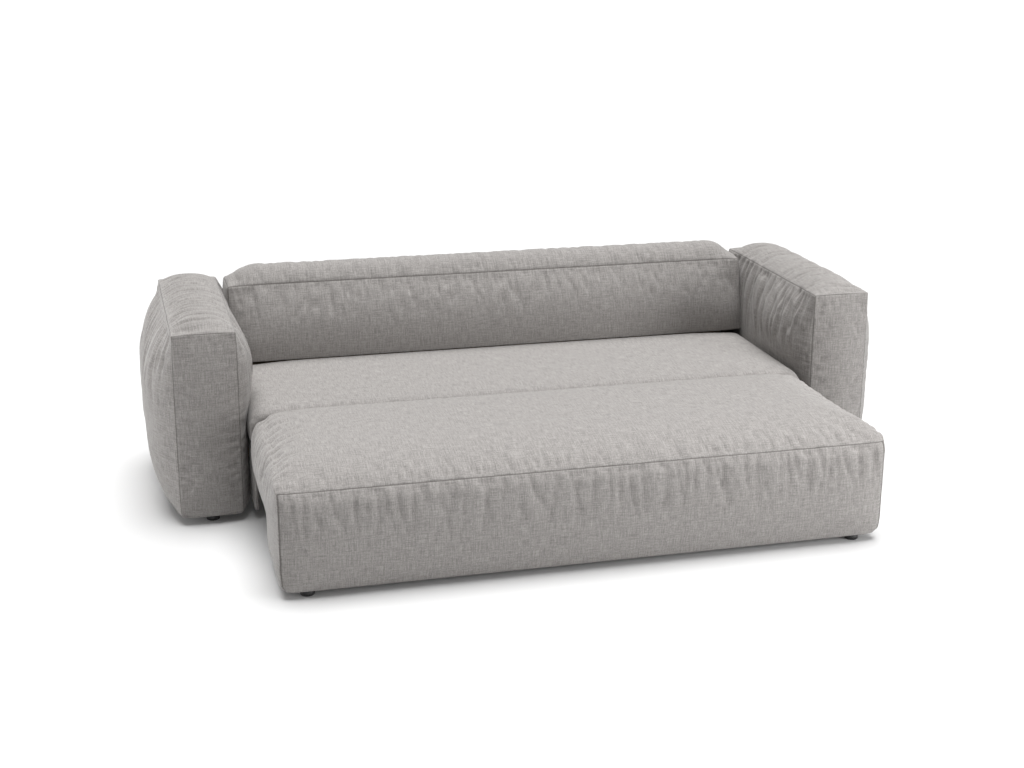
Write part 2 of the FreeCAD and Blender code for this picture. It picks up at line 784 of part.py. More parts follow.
def swing_arm(name, side, end, far_clearance):
    inner, outer = sided(side, "swing_bar_inner", "swing_bar_outer")
    return bar(name, "swing_length", "swing_bar_width", "swing_bar_thickness",
               "swing_pin / 2 + running_clearance", f"swing_pin / 2 + {far_clearance}",
               inner, f"{end}_swing", "swing_height", size("swing_angle"))


def lift_link(name, side, end, far_clearance):
    inner, outer = sided(side, "lift_bar_inner", "lift_bar_outer")
    return bar(name, "lift_length", "lift_bar_width", "lift_bar_thickness",
               "lift_pin / 2 + running_clearance", f"lift_pin / 2 + {far_clearance}",
               inner, f"{end}_lift", "lift_height")


# The whole object, each node by its name

nodes = []


def keep(thing):
    nodes.append(thing)


for hand, side in SIDES:
    keep(arm_cover(f"{hand}_arm_cover", side))
    keep(arm_frame(f"{hand}_arm_frame", side))
    keep(side_panel(f"{hand}_side_panel", side))
    keep(spacers(f"{hand}_spacers", side))
    keep(swing_bracket(f"{hand}_swing_bracket", side))
    keep(swing_pins(f"{hand}_swing_pins", side))
    keep(lift_bracket(f"{hand}_lift_bracket", side))
    keep(lift_pins(f"{hand}_lift_pins", side))
    keep(block_bracket(f"{hand}_block_bracket", side))
    keep(rear_pins(f"{hand}_rear_pins", side))
    keep(swing_arm(f"{hand}_front_swing_arm", side, "front", "running_clearance"))
    keep(swing_arm(f"{hand}_rear_swing_arm", side, "rear", "open_clearance"))
    keep(lift_link(f"{hand}_front_lift_link", side, "front", "running_clearance"))
    keep(lift_link(f"{hand}_rear_lift_link", side, "rear", "open_clearance"))

ACROSS_BASE = ("-side_outer", "side_outer")
keep(tie_bars("tie_bars"))
keep(brick("back_board", ACROSS_BASE, ("board_front", "board_back"),
           ("ground_gap", "backrest_bottom")))
keep(brick("back_cover", ACROSS_BASE, ("board_back", "arm_back"),
           ("ground_gap", "backrest_bottom")))
keep(backrest_cover("backrest_cover"))
keep(backrest_frame("backrest_frame"))
keep(backrest_webbing("backrest_webbing"))
keep(angle_brackets("backrest_angles"))
keep(feet("arm_feet", [(f"{sign} * arm_middle", y) for sign in (-1, 1)
                       for y in ("arm_front + foot_inset", "arm_back - foot_inset")]))
keep(feet("back_feet", [(f"{share} * side_inner", "(board_front + arm_back) / 2")
                        for share in (-0.5, 0.5)]))

keep(block_cover("block_cover"))
keep(block_box("block_box"))
keep(block_deck("block_deck_frame"))
keep(slats("block_slats", "deck_half - rail", ("deck_front + rail", "deck_back - rail"),
           "block_deck"))
keep(brick("block_dust_cloth", ("-deck_half", "deck_half"), ("box_inner_back", "deck_back"),
           ("block_underside - dust_cloth_thickness", "block_underside")))
keep(feet("block_feet", [(f"{sign} * (block_half - block_foot_inset)", y) for sign in (-1, 1)
                         for y in ("block_front + foot_diameter / 2",
                                   "box_inner_back - foot_diameter / 2")]))

keep(rear_cushion("rear_cushion"))
keep(rear_frame("rear_frame"))
keep(slats("rear_slats", "rear_frame_half - rear_rail_width",
           ("rear_front + rear_frame_inset + rear_rail_width",
            "rear_back - rear_frame_inset - rear_rail_width"),
           "rear_frame_high"))


def check_and_write():
    """Every object of the document must be sound before any file is written."""
    doc.recompute()
    for thing in doc.Objects:
        if "Invalid" in thing.State or "Error" in thing.State:
            raise RuntimeError(f"{thing.Label} failed: {thing.State}")
    for node in nodes:
        if node.Shape.isNull() or not node.Shape.isValid() or not node.Shape.Solids:
            raise RuntimeError(f"{node.Label} has no sound shape")
    os.makedirs("parts", exist_ok=True)
    for node in nodes:
        node.Shape.exportStep(f"parts/{node.Label}.step")
        print(f"{node.Label}: {len(node.Shape.Solids)} solids, {node.Shape.Volume / 1000:.1f} cm3")
    print(f"{len(nodes)} nodes")


check_and_write()
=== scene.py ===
"""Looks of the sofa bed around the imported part: upholstery, frame finishes, floor, light and
camera."""

import json
import math
from collections import namedtuple

import bmesh
import bpy
import numpy as np
from mathutils import Matrix, Vector


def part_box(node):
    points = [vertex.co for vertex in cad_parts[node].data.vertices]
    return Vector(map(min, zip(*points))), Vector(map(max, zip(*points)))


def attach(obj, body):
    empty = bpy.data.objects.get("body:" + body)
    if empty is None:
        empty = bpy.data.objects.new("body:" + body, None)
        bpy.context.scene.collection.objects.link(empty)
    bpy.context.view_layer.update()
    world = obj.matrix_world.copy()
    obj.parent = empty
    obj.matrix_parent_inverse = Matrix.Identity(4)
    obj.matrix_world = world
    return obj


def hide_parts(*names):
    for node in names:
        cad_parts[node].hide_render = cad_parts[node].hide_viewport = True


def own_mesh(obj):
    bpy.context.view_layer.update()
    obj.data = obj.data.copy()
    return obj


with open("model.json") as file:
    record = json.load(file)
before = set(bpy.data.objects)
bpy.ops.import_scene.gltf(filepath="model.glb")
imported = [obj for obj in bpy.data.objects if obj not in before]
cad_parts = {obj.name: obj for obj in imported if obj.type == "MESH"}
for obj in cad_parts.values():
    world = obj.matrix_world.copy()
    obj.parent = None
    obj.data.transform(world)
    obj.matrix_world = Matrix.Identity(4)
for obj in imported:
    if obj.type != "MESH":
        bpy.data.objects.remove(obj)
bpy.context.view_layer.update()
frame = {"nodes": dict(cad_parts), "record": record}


def add_object(name, data):
    """A new object in the scene."""
    piece = bpy.data.objects.new(name, data)
    bpy.context.scene.collection.objects.link(piece)
    return piece


# Camera, as the photograph was taken: place in metres, angles in degrees, lens in millimetres
CAMERA_PLACE = (-1.4592, -5.2473, 2.0762)
CAMERA_YAW = 14.787
CAMERA_PITCH = 17.1955
CAMERA_ROLL = 0.2456
CAMERA_LENS = 56.12
CAMERA_SENSOR = 36.0


def make_camera():
    yaw, pitch, roll = (math.radians(a) for a in (CAMERA_YAW, CAMERA_PITCH, CAMERA_ROLL))
    forward = Vector((math.sin(yaw) * math.cos(pitch), math.cos(yaw) * math.cos(pitch),
                      -math.sin(pitch)))
    right = forward.cross(Vector((0, 0, 1))).normalized()
    up = right.cross(forward)
    rolled_right = math.cos(roll) * right + math.sin(roll) * up
    rolled_up = math.cos(roll) * up - math.sin(roll) * right
    turn = Matrix((rolled_right, rolled_up, -forward)).transposed()
    data = bpy.data.cameras.new("camera")
    data.sensor_width = CAMERA_SENSOR
    data.lens = CAMERA_LENS
    camera = add_object("camera", data)
    camera.matrix_world = Matrix.Translation(CAMERA_PLACE) @ turn.to_4x4()
    bpy.context.scene.camera = camera


# Materials

# Sockets of a mix node that mixes colours
MIX_FIRST = 6
MIX_SECOND = 7
MIX_RESULT = 2


class Nodes:
    """Short calls for building the node tree of a material or a world."""

    def __init__(self, owner):
        owner.use_nodes = True
        self.owner = owner
        self.tree = owner.node_tree
        self.shader = self.tree.nodes.get("Principled BSDF")

    def add(self, kind, **settings):
        node = self.tree.nodes.new(kind)
        for name, value in settings.items():
            setattr(node, name, value)
        return node

    def link(self, source, target):
        self.tree.links.new(source, target)

    def coordinates(self, kind, scale):
        """Texture coordinates of one kind, scaled along each axis."""
        place = self.add("ShaderNodeTexCoord")
        mapping = self.add("ShaderNodeMapping")
        mapping.inputs["Scale"].default_value = scale
        self.link(place.outputs[kind], mapping.inputs["Vector"])
        return mapping.outputs["Vector"]

    def noise(self, vector, detail, roughness=0.5):
        node = self.add("ShaderNodeTexNoise")
        node.inputs["Scale"].default_value = 1.0
        node.inputs["Detail"].default_value = detail
        node.inputs["Roughness"].default_value = roughness
        self.link(vector, node.inputs["Vector"])
        return node.outputs["Fac"]

    def math(self, operation, first, second, clamp=False):
        node = self.add("ShaderNodeMath", operation=operation, use_clamp=clamp)
        for socket, value in zip(node.inputs, (first, second)):
            if isinstance(value, (int, float)):
                socket.default_value = value
            else:
                self.link(value, socket)
        return node.outputs[0]

    def ramp(self, value, turn, low_colour, high_colour):
        """The low colour up to the first place of the turn, and the high one from the second."""
        node = self.add("ShaderNodeValToRGB")
        colours = (low_colour, high_colour)
        for element, position, colour in zip(node.color_ramp.elements, turn, colours):
            element.position = position
            element.color = (*colour, 1)
        self.link(value, node.inputs["Fac"])
        return node.outputs["Color"]

    def multiply(self, first, second):
        node = self.add("ShaderNodeMix", data_type="RGBA", blend_type="MULTIPLY")
        node.inputs["Factor"].default_value = 1.0
        self.link(first, node.inputs[MIX_FIRST])
        self.link(second, node.inputs[MIX_SECOND])
        return node.outputs[MIX_RESULT]

    def bump(self, height, distance, strength):
        node = self.add("ShaderNodeBump")
        node.inputs["Strength"].default_value = strength
        node.inputs["Distance"].default_value = distance
        self.link(height, node.inputs["Height"])
        self.link(node.outputs["Normal"], self.shader.inputs["Normal"])

    def seen(self):
        """1 where the camera looks, also through glass or a mirror, and 0 for gathered light."""
        ray = self.add("ShaderNodeLightPath")
        return self.math("MAXIMUM", ray.outputs["Is Camera Ray"],
                         self.math("MAXIMUM", ray.outputs["Is Glossy Ray"],
                                   ray.outputs["Is Transmission Ray"]))

    def finish(self, colour, roughness, metallic=0.0):
        self.link(colour, self.shader.inputs["Base Color"])
        self.shader.inputs["Roughness"].default_value = roughness
        self.shader.inputs["Metallic"].default_value = metallic
        return self.owner


# The cloth's light and dark threads, and where the mixed noise turns from dark to light
FABRIC_LIGHT = (0.405, 0.384, 0.369)
FABRIC_DARK = (0.205, 0.194, 0.186)
FABRIC_TURN = (0.42, 0.62)
# The cloth's noises: scale along each axis, detail, and share of the mix
WARP = ((950, 120, 300), 1.0, 0.22)
WEFT = ((120, 950, 300), 1.0, 0.22)
SLUB = ((330, 22, 60), 2.0, 0.28)
CROSS_SLUB = ((22, 330, 60), 2.0, 0.24)
CLOUD = ((60, 60, 60), 3.0, 0.06)
# Height of the slubs beside that of the threads, and the relief's distance and strength
SLUB_HEIGHT = 0.8
FABRIC_BUMP = (0.0012, 0.6)
FABRIC_ROUGHNESS = 0.92
SHEEN = 0.18
SHEEN_ROUGHNESS = 0.5
# Painted shade along each seam's groove: how far it reaches to either side, and how dark it is
SEAM_SHADE_REACH = 0.0025
SEAM_PAINTED_SHADE = (0.36, 0.35, 0.34)
WHITE = (1, 1, 1)


def make_fabric(name, kind="UV"):
    """Melange linen-like cloth: threads both ways and long slubs. The cloth of the padded pieces,
    which has their UV, also has painted shade: a darker line along each seam, where its groove is."""
    n = Nodes(bpy.data.materials.new(name))

    def layer(scale, detail, share):
        return n.math("MULTIPLY", n.noise(n.coordinates(kind, scale), detail), share)

    threads = n.math("ADD", layer(*WARP), layer(*WEFT))
    slubs = n.math("ADD", layer(*SLUB), layer(*CROSS_SLUB))
    mixed = n.math("ADD", n.math("ADD", threads, slubs), layer(*CLOUD))
    colour = n.ramp(mixed, FABRIC_TURN, FABRIC_DARK, FABRIC_LIGHT)
    if kind == "UV":
        # Painted shade: the colour is darkened along each seam, standing in for the shade in its
        # groove
        seam = n.add("ShaderNodeAttribute", attribute_name="seam_gap")
        near = n.math("MULTIPLY", seam.outputs["Fac"], 1 / SEAM_SHADE_REACH, clamp=True)
        colour = n.multiply(colour, n.ramp(near, (0, 1), SEAM_PAINTED_SHADE, WHITE))
    n.bump(n.math("ADD", threads, n.math("MULTIPLY", slubs, SLUB_HEIGHT)), *FABRIC_BUMP)
    n.shader.inputs["Sheen Weight"].default_value = SHEEN
    n.shader.inputs["Sheen Roughness"].default_value = SHEEN_ROUGHNESS
    return n.finish(colour, FABRIC_ROUGHNESS)


# Wood mixes its grain with the same grain drawn finer: detail and roughness of each noise, its
# share, and how much finer the second is
GRAIN = (4.0, 0.6, 0.7)
FINE_GRAIN = (2.0, 0.5, 0.3)
FINER = 4
WOOD_TURN = (0.35, 0.65)
WOOD_BUMP = (0.0006, 0.5)
WOOD_ROUGHNESS = 0.6


def make_wood(name, light, dark, scale):
    n = Nodes(bpy.data.materials.new(name))

    def layer(scale, detail, roughness, share):
        grain = n.noise(n.coordinates("Object", scale), detail, roughness)
        return n.math("MULTIPLY", grain, share)

    mixed = n.math("ADD", layer(scale, *GRAIN),
                   layer(tuple(FINER * s for s in scale), *FINE_GRAIN))
    n.bump(mixed, *WOOD_BUMP)
    return n.finish(n.ramp(mixed, WOOD_TURN, dark, light), WOOD_ROUGHNESS)


def make_speckled(name, light, dark, roughness, metallic=0.0, scale=(700, 700, 700), detail=2.0,
                  fray=0.5, turn=(0.3, 0.7), bump=(0.0003, 0.5)):
    """One noise for colour and relief, its fray being its roughness. The bump is the relief's
    distance and strength."""
    n = Nodes(bpy.data.materials.new(name))
    spots = n.noise(n.coordinates("Object", scale), detail, fray)
    n.bump(spots, *bump)
    return n.finish(n.ramp(spots, turn, dark, light), roughness, metallic)


FABRIC = make_fabric("sofa_fabric")
FINISHES = {
    "upholstery": make_fabric("board_fabric", "Object"),
    # Pine toned darker than plain pine: partly the wood's own colour and grain, partly painted
    # shade for the frame seen in the gaps beside the arms
    "timber": make_wood("pine", (0.48, 0.37, 0.25), (0.36, 0.26, 0.16), scale=(3, 60, 60)),
    "slat_wood": make_wood("birch", (0.70, 0.55, 0.36), (0.56, 0.41, 0.25), scale=(60, 3, 60)),
    "black_steel": make_speckled("black_powder_coat", (0.022, 0.022, 0.022),
                                 (0.012, 0.012, 0.012), roughness=0.45),
    "zinc_steel": make_speckled("zinc_plate", (0.62, 0.62, 0.60), (0.45, 0.45, 0.44),
                                roughness=0.35, metallic=1.0),
    "foot_plastic": make_speckled("black_plastic", (0.02, 0.02, 0.02), (0.012, 0.012, 0.012),
                                  roughness=0.5),
    "webbing": make_speckled("elastic_webbing", (0.34, 0.27, 0.18), (0.16, 0.12, 0.08),
                             roughness=0.85, scale=(40, 900, 900), detail=1.0,
                             turn=(0.35, 0.65), bump=(0.0008, 1.0)),
    "dust_cloth": make_speckled("black_felt", (0.03, 0.03, 0.03), (0.006, 0.006, 0.006),
                                roughness=0.95, scale=(500, 500, 500), detail=3.0, fray=0.7,
                                bump=(0.0006, 1.0)),
}


def finish_cad_nodes():
    """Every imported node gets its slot's material."""
    for part in frame["record"]["subparts"]:
        node = frame["nodes"][part["node"]]
        node.data.materials.clear()
        node.data.materials.append(FINISHES[part["material_slot"]])


# Shares, from 0 to 1, that shape bulges and folds

def dome(gap, reach, power=2.2):
    """Rise from 0 at a seam to 1 at the reach, and 1 from there on."""
    return 1 - (1 - np.clip(gap / reach, 0, 1)) ** power


def between(value, low, high, reach):
    """The same rise from both ends of a span."""
    return dome(value - low, reach) * dome(high - value, reach)


def fade(value, start, end):
    """1 before the start, 0 past the end, and an even slope between."""
    share = np.clip((value - start) / (end - start), 0, 1)
    return 1 - share * share * (3 - 2 * share)


def partly(least, share):
    """A share that never falls below the least."""
    return least + (1 - least) * share


# Noise for wrinkles

NOISE_TABLE = 128
# How far creases sway, in spacings, how slowly in lengths and spacings, and a shift that keeps
# the sway's noise apart from the creases'
SWAY = 0.35
SWAY_LENGTHS = 3
SWAY_SPACINGS = 4
SWAY_SHIFT = 7.3
CREASE_WIDTH = 0.09


def noise(u, v, seed):
    """Smooth gradient noise of two coordinates, about -0.7 to 0.7, repeatable by its seed."""
    angles = np.random.RandomState(seed).uniform(0, 2 * math.pi, (NOISE_TABLE, NOISE_TABLE))
    low_u = np.floor(u).astype(int)
    low_v = np.floor(v).astype(int)
    part_u = u - low_u
    part_v = v - low_v
    ease_u = part_u ** 3 * (part_u * (6 * part_u - 15) + 10)
    ease_v = part_v ** 3 * (part_v * (6 * part_v - 15) + 10)

    def corner(step_u, step_v):
        angle = angles[(low_u + step_u) % NOISE_TABLE, (low_v + step_v) % NOISE_TABLE]
        return np.cos(angle) * (part_u - step_u) + np.sin(angle) * (part_v - step_v)

    near = corner(0, 0) * (1 - ease_u) + corner(1, 0) * ease_u
    far = corner(0, 1) * (1 - ease_u) + corner(1, 1) * ease_u
    return near * (1 - ease_v) + far * ease_v


def creases(along, across, spacing, length, seed):
    """0 in the valley of a crease, and 1 on the rounded cloth between creases. The creases run
    along one coordinate, about as far apart as the spacing across the other."""
    sway = SWAY * noise(along / (SWAY_LENGTHS * length) + SWAY_SHIFT,
                        across / (SWAY_SPACINGS * spacing), seed + 1)
    value = noise(along / length, across / spacing + sway, seed)
    return 1 - np.exp(-np.abs(value) / CREASE_WIDTH)


# Folds that run away from a seam: depth, spacing and length in metres, the gaps from the seam
# where they start to fade and where they have gone, a number added to the piece's seed, and the
# least share of their depth that stays
Folds = namedtuple("Folds", "depth spacing length start end seed least", defaults=(0, 0.0))


def sunk(folds, gap, across, seed, side=1):
    """How deep the folds sink, given the gap from their seam and the place across them. The side
    is -1 on the other panel at a seam that the same folds cross."""
    valleys = 1 - creases(side * gap, across, folds.spacing, folds.length, seed + folds.seed)
    return folds.depth * valleys * partly(folds.least, fade(gap, folds.start, folds.end))


# Padded pieces: a closed lattice shell whose sides bulge between their seams

# Lattice lines beside each seam
SEAM_LINES = (0.004, 0.010)
# Folds start this far from a seam
SEAM_CALM = 0.024
SEAM_DEPTH = 0.0020
SEAM_HALF_WIDTH = 0.0026
# A gap for vertices that no seam is near
FAR = 1.0
# How close a vertex is to a seam that runs through it
ON_SEAM = 1e-6
# Keeps a division from dividing by zero
TINY = 1e-9
# Moves each panel's weave, so that no two panels show the same threads
WEAVE_SHIFT = 3.7


def stations(low, high, step):
    """Lattice lines from low to high, closer beside both ends, where the seams are."""
    first = [low, *(low + gap for gap in SEAM_LINES)]
    last = [*(high - gap for gap in reversed(SEAM_LINES)), high]
    count = max(2, round((last[0] - first[-1]) / step))
    middle = [first[-1] + (last[0] - first[-1]) * i / count for i in range(1, count)]
    return first + middle + last


class Shell:
    """The skin of a prism along X, filled where a mask of its YZ cells says so. Each side of it
    is a panel, named by its direction and place."""

    def __init__(self, xs, ys, zs, filled=lambda y, z: True):
        self.vertices = []
        self.index = {}
        self.faces = []
        self.face_panels = []
        self.panels = []
        self.lines = (xs, ys, zs)
        inside = np.zeros((len(ys) + 1, len(zs) + 1), bool)
        for j in range(len(ys) - 1):
            for k in range(len(zs) - 1):
                inside[j + 1, k + 1] = filled((ys[j] + ys[j + 1]) / 2, (zs[k] + zs[k + 1]) / 2)
        for j in range(len(ys) - 1):
            for k in range(len(zs) - 1):
                if not inside[j + 1, k + 1]:
                    continue
                self.quad("-x", 0, [(0, j, k), (0, j, k + 1), (0, j + 1, k + 1), (0, j + 1, k)])
                end = len(xs) - 1
                self.quad("+x", end, [(end, j, k), (end, j + 1, k), (end, j + 1, k + 1),
                                      (end, j, k + 1)])
                for i in range(len(xs) - 1):
                    if not inside[j, k + 1]:
                        self.quad("-y", j, [(i, j, k), (i + 1, j, k), (i + 1, j, k + 1),
                                            (i, j, k + 1)])
                    if not inside[j + 2, k + 1]:
                        self.quad("+y", j + 1, [(i, j + 1, k), (i, j + 1, k + 1),
                                                (i + 1, j + 1, k + 1), (i + 1, j + 1, k)])
                    if not inside[j + 1, k]:
                        self.quad("-z", k, [(i, j, k), (i, j + 1, k), (i + 1, j + 1, k),
                                            (i + 1, j, k)])
                    if not inside[j + 1, k + 2]:
                        self.quad("+z", k + 1, [(i, j, k + 1), (i + 1, j, k + 1),
                                                (i + 1, j + 1, k + 1), (i, j + 1, k + 1)])
        self.rest = np.array(self.vertices)
        self.places = self.rest.copy()
        self.seam_gap = np.full(len(self.rest), FAR)
        self.pinned = np.zeros(len(self.rest), bool)

    def quad(self, direction, level, corners):
        axis = "xyz".index(direction[1])
        name = (direction, round(self.lines[axis][level], 4))
        if name not in self.panels:
            self.panels.append(name)
        numbers = []
        for corner in corners:
            if corner not in self.index:
                self.index[corner] = len(self.vertices)
                self.vertices.append([self.lines[a][corner[a]] for a in range(3)])
            numbers.append(self.index[corner])
        self.faces.append(numbers)
        self.face_panels.append(self.panels.index(name))

    def facing(self, direction):
        """The numbers of the vertices on one direction's panels."""
        return sorted({v for face, panel in zip(self.faces, self.face_panels)
                       if self.panels[panel][0] == direction for v in face})

    def bulge(self, direction, amount):
        """Push one direction's vertices outwards by an amount, given their rest places."""
        axis = "xyz".index(direction[1])
        sign = 1 if direction[0] == "+" else -1
        numbers = self.facing(direction)
        self.places[numbers, axis] += sign * amount(*self.rest[numbers].T)

    def pillow(self, direction, most, **reaches):
        """Push one direction's vertices outwards, the most where they are past the reach from
        both ends of the shell, along each axis that has a reach."""
        low, high = self.rest.min(axis=0), self.rest.max(axis=0)

        def amount(*place):
            rise = most
            for name, reach in reaches.items():
                axis = "xyz".index(name)
                rise = rise * between(place[axis], low[axis], high[axis], reach)
            return rise

        self.bulge(direction, amount)

    def round_edge(self, first, second, radius):
        """Round the square edge where two sides meet. Each side is its axis, outward sign and
        level; the radius is a number or one for each vertex."""
        reach = []
        for axis, sign, level in (first, second):
            reach.append(radius - sign * (level - self.rest[:, axis]))
        inside = (reach[0] > 0) & (reach[1] > 0)
        most = np.maximum(np.maximum(*reach), TINY)
        share = np.minimum(*reach) / most
        angle = np.where(reach[0] <= reach[1], share, 2 - share) * math.pi / 4
        for (axis, sign, _), now, turned in zip((first, second), reach,
                                                (most * np.sin(angle), most * np.cos(angle))):
            self.places[:, axis] += np.where(inside, sign * (turned - now), 0)

    def soften(self, rounds, share):
        """Round the form over where the share, given rest places, is above 0."""
        nothing_held = np.zeros(len(self.rest), bool)
        soft = smoothed(self.places.copy(), self.faces, nothing_held, rounds)
        self.places += (soft - self.places) * share(*self.rest.T)[:, None]

    def seam(self, **places):
        """A seam along the line where two of x, y and z have these values."""
        gap = np.zeros(len(self.rest))
        for axis, value in places.items():
            gap = np.maximum(gap, np.abs(self.rest[:, "xyz".index(axis)] - value))
        self.seam_gap = np.minimum(self.seam_gap, gap)
        self.pinned |= gap < ON_SEAM

    def hold(self, direction):
        """Hold one direction's panels still where they rest on something."""
        self.pinned[self.facing(direction)] = True

    def normals(self):
        """The outward direction at each vertex of the lattice."""
        corners = self.places[np.array(self.faces)]
        face_normals = np.cross(corners[:, 2] - corners[:, 0], corners[:, 3] - corners[:, 1])
        total = np.zeros_like(self.places)
        for turn in range(4):
            np.add.at(total, np.array(self.faces)[:, turn], face_normals)
        return total / np.linalg.norm(total, axis=1)[:, None]

    def depths(self, folds):
        """How far each fold sinks the lattice's vertices. A fold names its panel's direction."""
        depth = np.zeros(len(self.rest))
        for direction, fold in folds:
            chosen = self.facing(direction)
            depth[chosen] = np.maximum(depth[chosen], fold(*self.rest[chosen].T))
        return depth * dome(self.seam_gap, SEAM_CALM)

    def mesh(self, name):
        mesh = bpy.data.meshes.new(name)
        mesh.from_pydata(self.places.tolist(), [], self.faces)
        gaps = mesh.attributes.new("seam_gap", "FLOAT", "POINT")
        gaps.data.foreach_set("value", self.seam_gap.astype(np.float32))
        rest = mesh.attributes.new("rest", "FLOAT_VECTOR", "POINT")
        rest.data.foreach_set("vector", self.rest.astype(np.float32).ravel())
        panel = mesh.attributes.new("panel", "INT", "FACE")
        panel.data.foreach_set("value", np.array(self.face_panels, np.int32))
        layer = mesh.uv_layers.new(name="weave")
        uv = []
        for face, number in zip(self.faces, self.face_panels):
            axis = "xyz".index(self.panels[number][0][1])
            flat = [a for a in range(3) if a != axis]
            shift = WEAVE_SHIFT * number
            for v in face:
                uv += [self.rest[v, flat[0]] + shift, self.rest[v, flat[1]] + shift]
        layer.data.foreach_set("uv", np.array(uv, np.float32))
        mesh.update()
        return mesh


# Cloth: held at its seams, cut a little too large and pressed out from inside

CLOTH_FRAMES = 22
CLOTH_QUALITY = 6
CLOTH_MASS = 0.3
CLOTH_DAMPING = 4.0
CLOTH_PRESSURE = 3.0
CLOTH_STIFFNESS = 15.0
CLOTH_SHEAR = CLOTH_STIFFNESS / 3
CLOTH_BENDING = 0.4
# Rounds that leave the form and take away the wrinkles
SMOOTHING_ROUNDS = 90
FOLD_LIMIT = 0.012
# Wrinkles are smaller within these reaches of a corner and of a seam, and the least share there
CORNER_REACH = 0.12
SEAM_REACH = 0.02
SEAM_SHARE = 0.4
# Share of the folds drawn in after the cloth has wrinkled
FINE_SHARE = 0.5


def smoothed(moves, faces, held, rounds):
    """Values at vertices averaged over neighbours many times, and 0 at those held."""
    corners = np.array(faces)
    pairs = np.concatenate([corners[:, [turn, (turn + 1) % 4]] for turn in range(4)])
    first, second = np.unique(np.sort(pairs, axis=1), axis=0).T
    size = len(moves)
    count = np.bincount(first, minlength=size) + np.bincount(second, minlength=size)
    for _ in range(rounds):
        for axis in range(3):
            around = (np.bincount(first, moves[second, axis], size)
                      + np.bincount(second, moves[first, axis], size)) / count
            moves[:, axis] = 0.5 * (moves[:, axis] + around)
        moves[held] = 0
    return moves


def read(items, value, kind=np.float32, length=1):
    """One value of each item of a mesh, as an array."""
    values = np.zeros(len(items) * length, kind)
    items.foreach_get(value, values)
    return values.reshape(-1, length).astype(float) if length > 1 else values


def buckle(shell, name, growth, folds, gain):
    """Wrinkle a shell as sewn cloth wrinkles. The cloth is larger than the form by a growth
    along each axis, starts from the folds, is held at the seams and pressed out from inside. Only
    its wrinkles are kept: what it moves as a whole is taken off again, so the form stays. The
    wrinkles are multiplied by the gain, less near corners and seams, and limited."""
    start = shell.places - shell.normals() * shell.depths(folds)[:, None]
    mesh = bpy.data.meshes.new(name + "_cloth")
    mesh.from_pydata(start.tolist(), [], shell.faces)
    piece = add_object(name + "_cloth", mesh)
    piece.shape_key_add(name="start")
    middle = shell.places.mean(axis=0)
    larger = middle + (shell.places - middle) * growth
    cut = piece.shape_key_add(name="cut")
    cut.data.foreach_set("co", larger.astype(np.float32).ravel())
    pins = piece.vertex_groups.new(name="pins")
    pins.add(np.flatnonzero(shell.pinned).tolist(), 1.0, "REPLACE")
    modifier = piece.modifiers.new("cloth", "CLOTH")
    cloth = modifier.settings
    cloth.quality = CLOTH_QUALITY
    cloth.mass = CLOTH_MASS
    cloth.air_damping = CLOTH_DAMPING
    cloth.tension_stiffness = CLOTH_STIFFNESS
    cloth.compression_stiffness = CLOTH_STIFFNESS
    cloth.shear_stiffness = CLOTH_SHEAR
    cloth.bending_stiffness = CLOTH_BENDING
    cloth.rest_shape_key = cut
    cloth.vertex_group_mass = "pins"
    cloth.use_pressure = True
    cloth.uniform_pressure_force = CLOTH_PRESSURE
    cloth.effector_weights.gravity = 0
    modifier.collision_settings.use_collision = False
    modifier.point_cache.frame_start = 1
    modifier.point_cache.frame_end = CLOTH_FRAMES
    for frame_number in range(1, CLOTH_FRAMES + 1):
        bpy.context.scene.frame_set(frame_number)
    settled = piece.evaluated_get(bpy.context.evaluated_depsgraph_get())
    moves = read(settled.data.vertices, "co", length=3) - shell.places
    bpy.data.objects.remove(piece)
    bpy.context.scene.frame_set(1)
    folds_only = moves - smoothed(moves.copy(), shell.faces, shell.pinned, SMOOTHING_ROUNDS)
    length = np.linalg.norm(folds_only, axis=1) + TINY
    low, high = shell.rest.min(axis=0), shell.rest.max(axis=0)
    to_corner = np.linalg.norm(np.minimum(shell.rest - low, high - shell.rest), axis=1)
    gains = (gain * dome(to_corner, CORNER_REACH)
             * partly(SEAM_SHARE, dome(shell.seam_gap, SEAM_REACH)))
    limited = FOLD_LIMIT * np.tanh(gains * length / FOLD_LIMIT)
    shell.places += folds_only * (limited / length)[:, None]


def refined(mesh, name):
    """The mesh subdivided once, with its attributes, as a new object."""
    source = add_object(name + "_coarse", mesh)
    modifier = source.modifiers.new("subdivision", "SUBSURF")
    modifier.levels = 1
    modifier.render_levels = 1
    modifier.boundary_smooth = "PRESERVE_CORNERS"
    depsgraph = bpy.context.evaluated_depsgraph_get()
    fine = bpy.data.meshes.new_from_object(source.evaluated_get(depsgraph),
                                           preserve_all_data_layers=True, depsgraph=depsgraph)
    bpy.data.objects.remove(source)
    fine.name = name
    return add_object(name, fine)


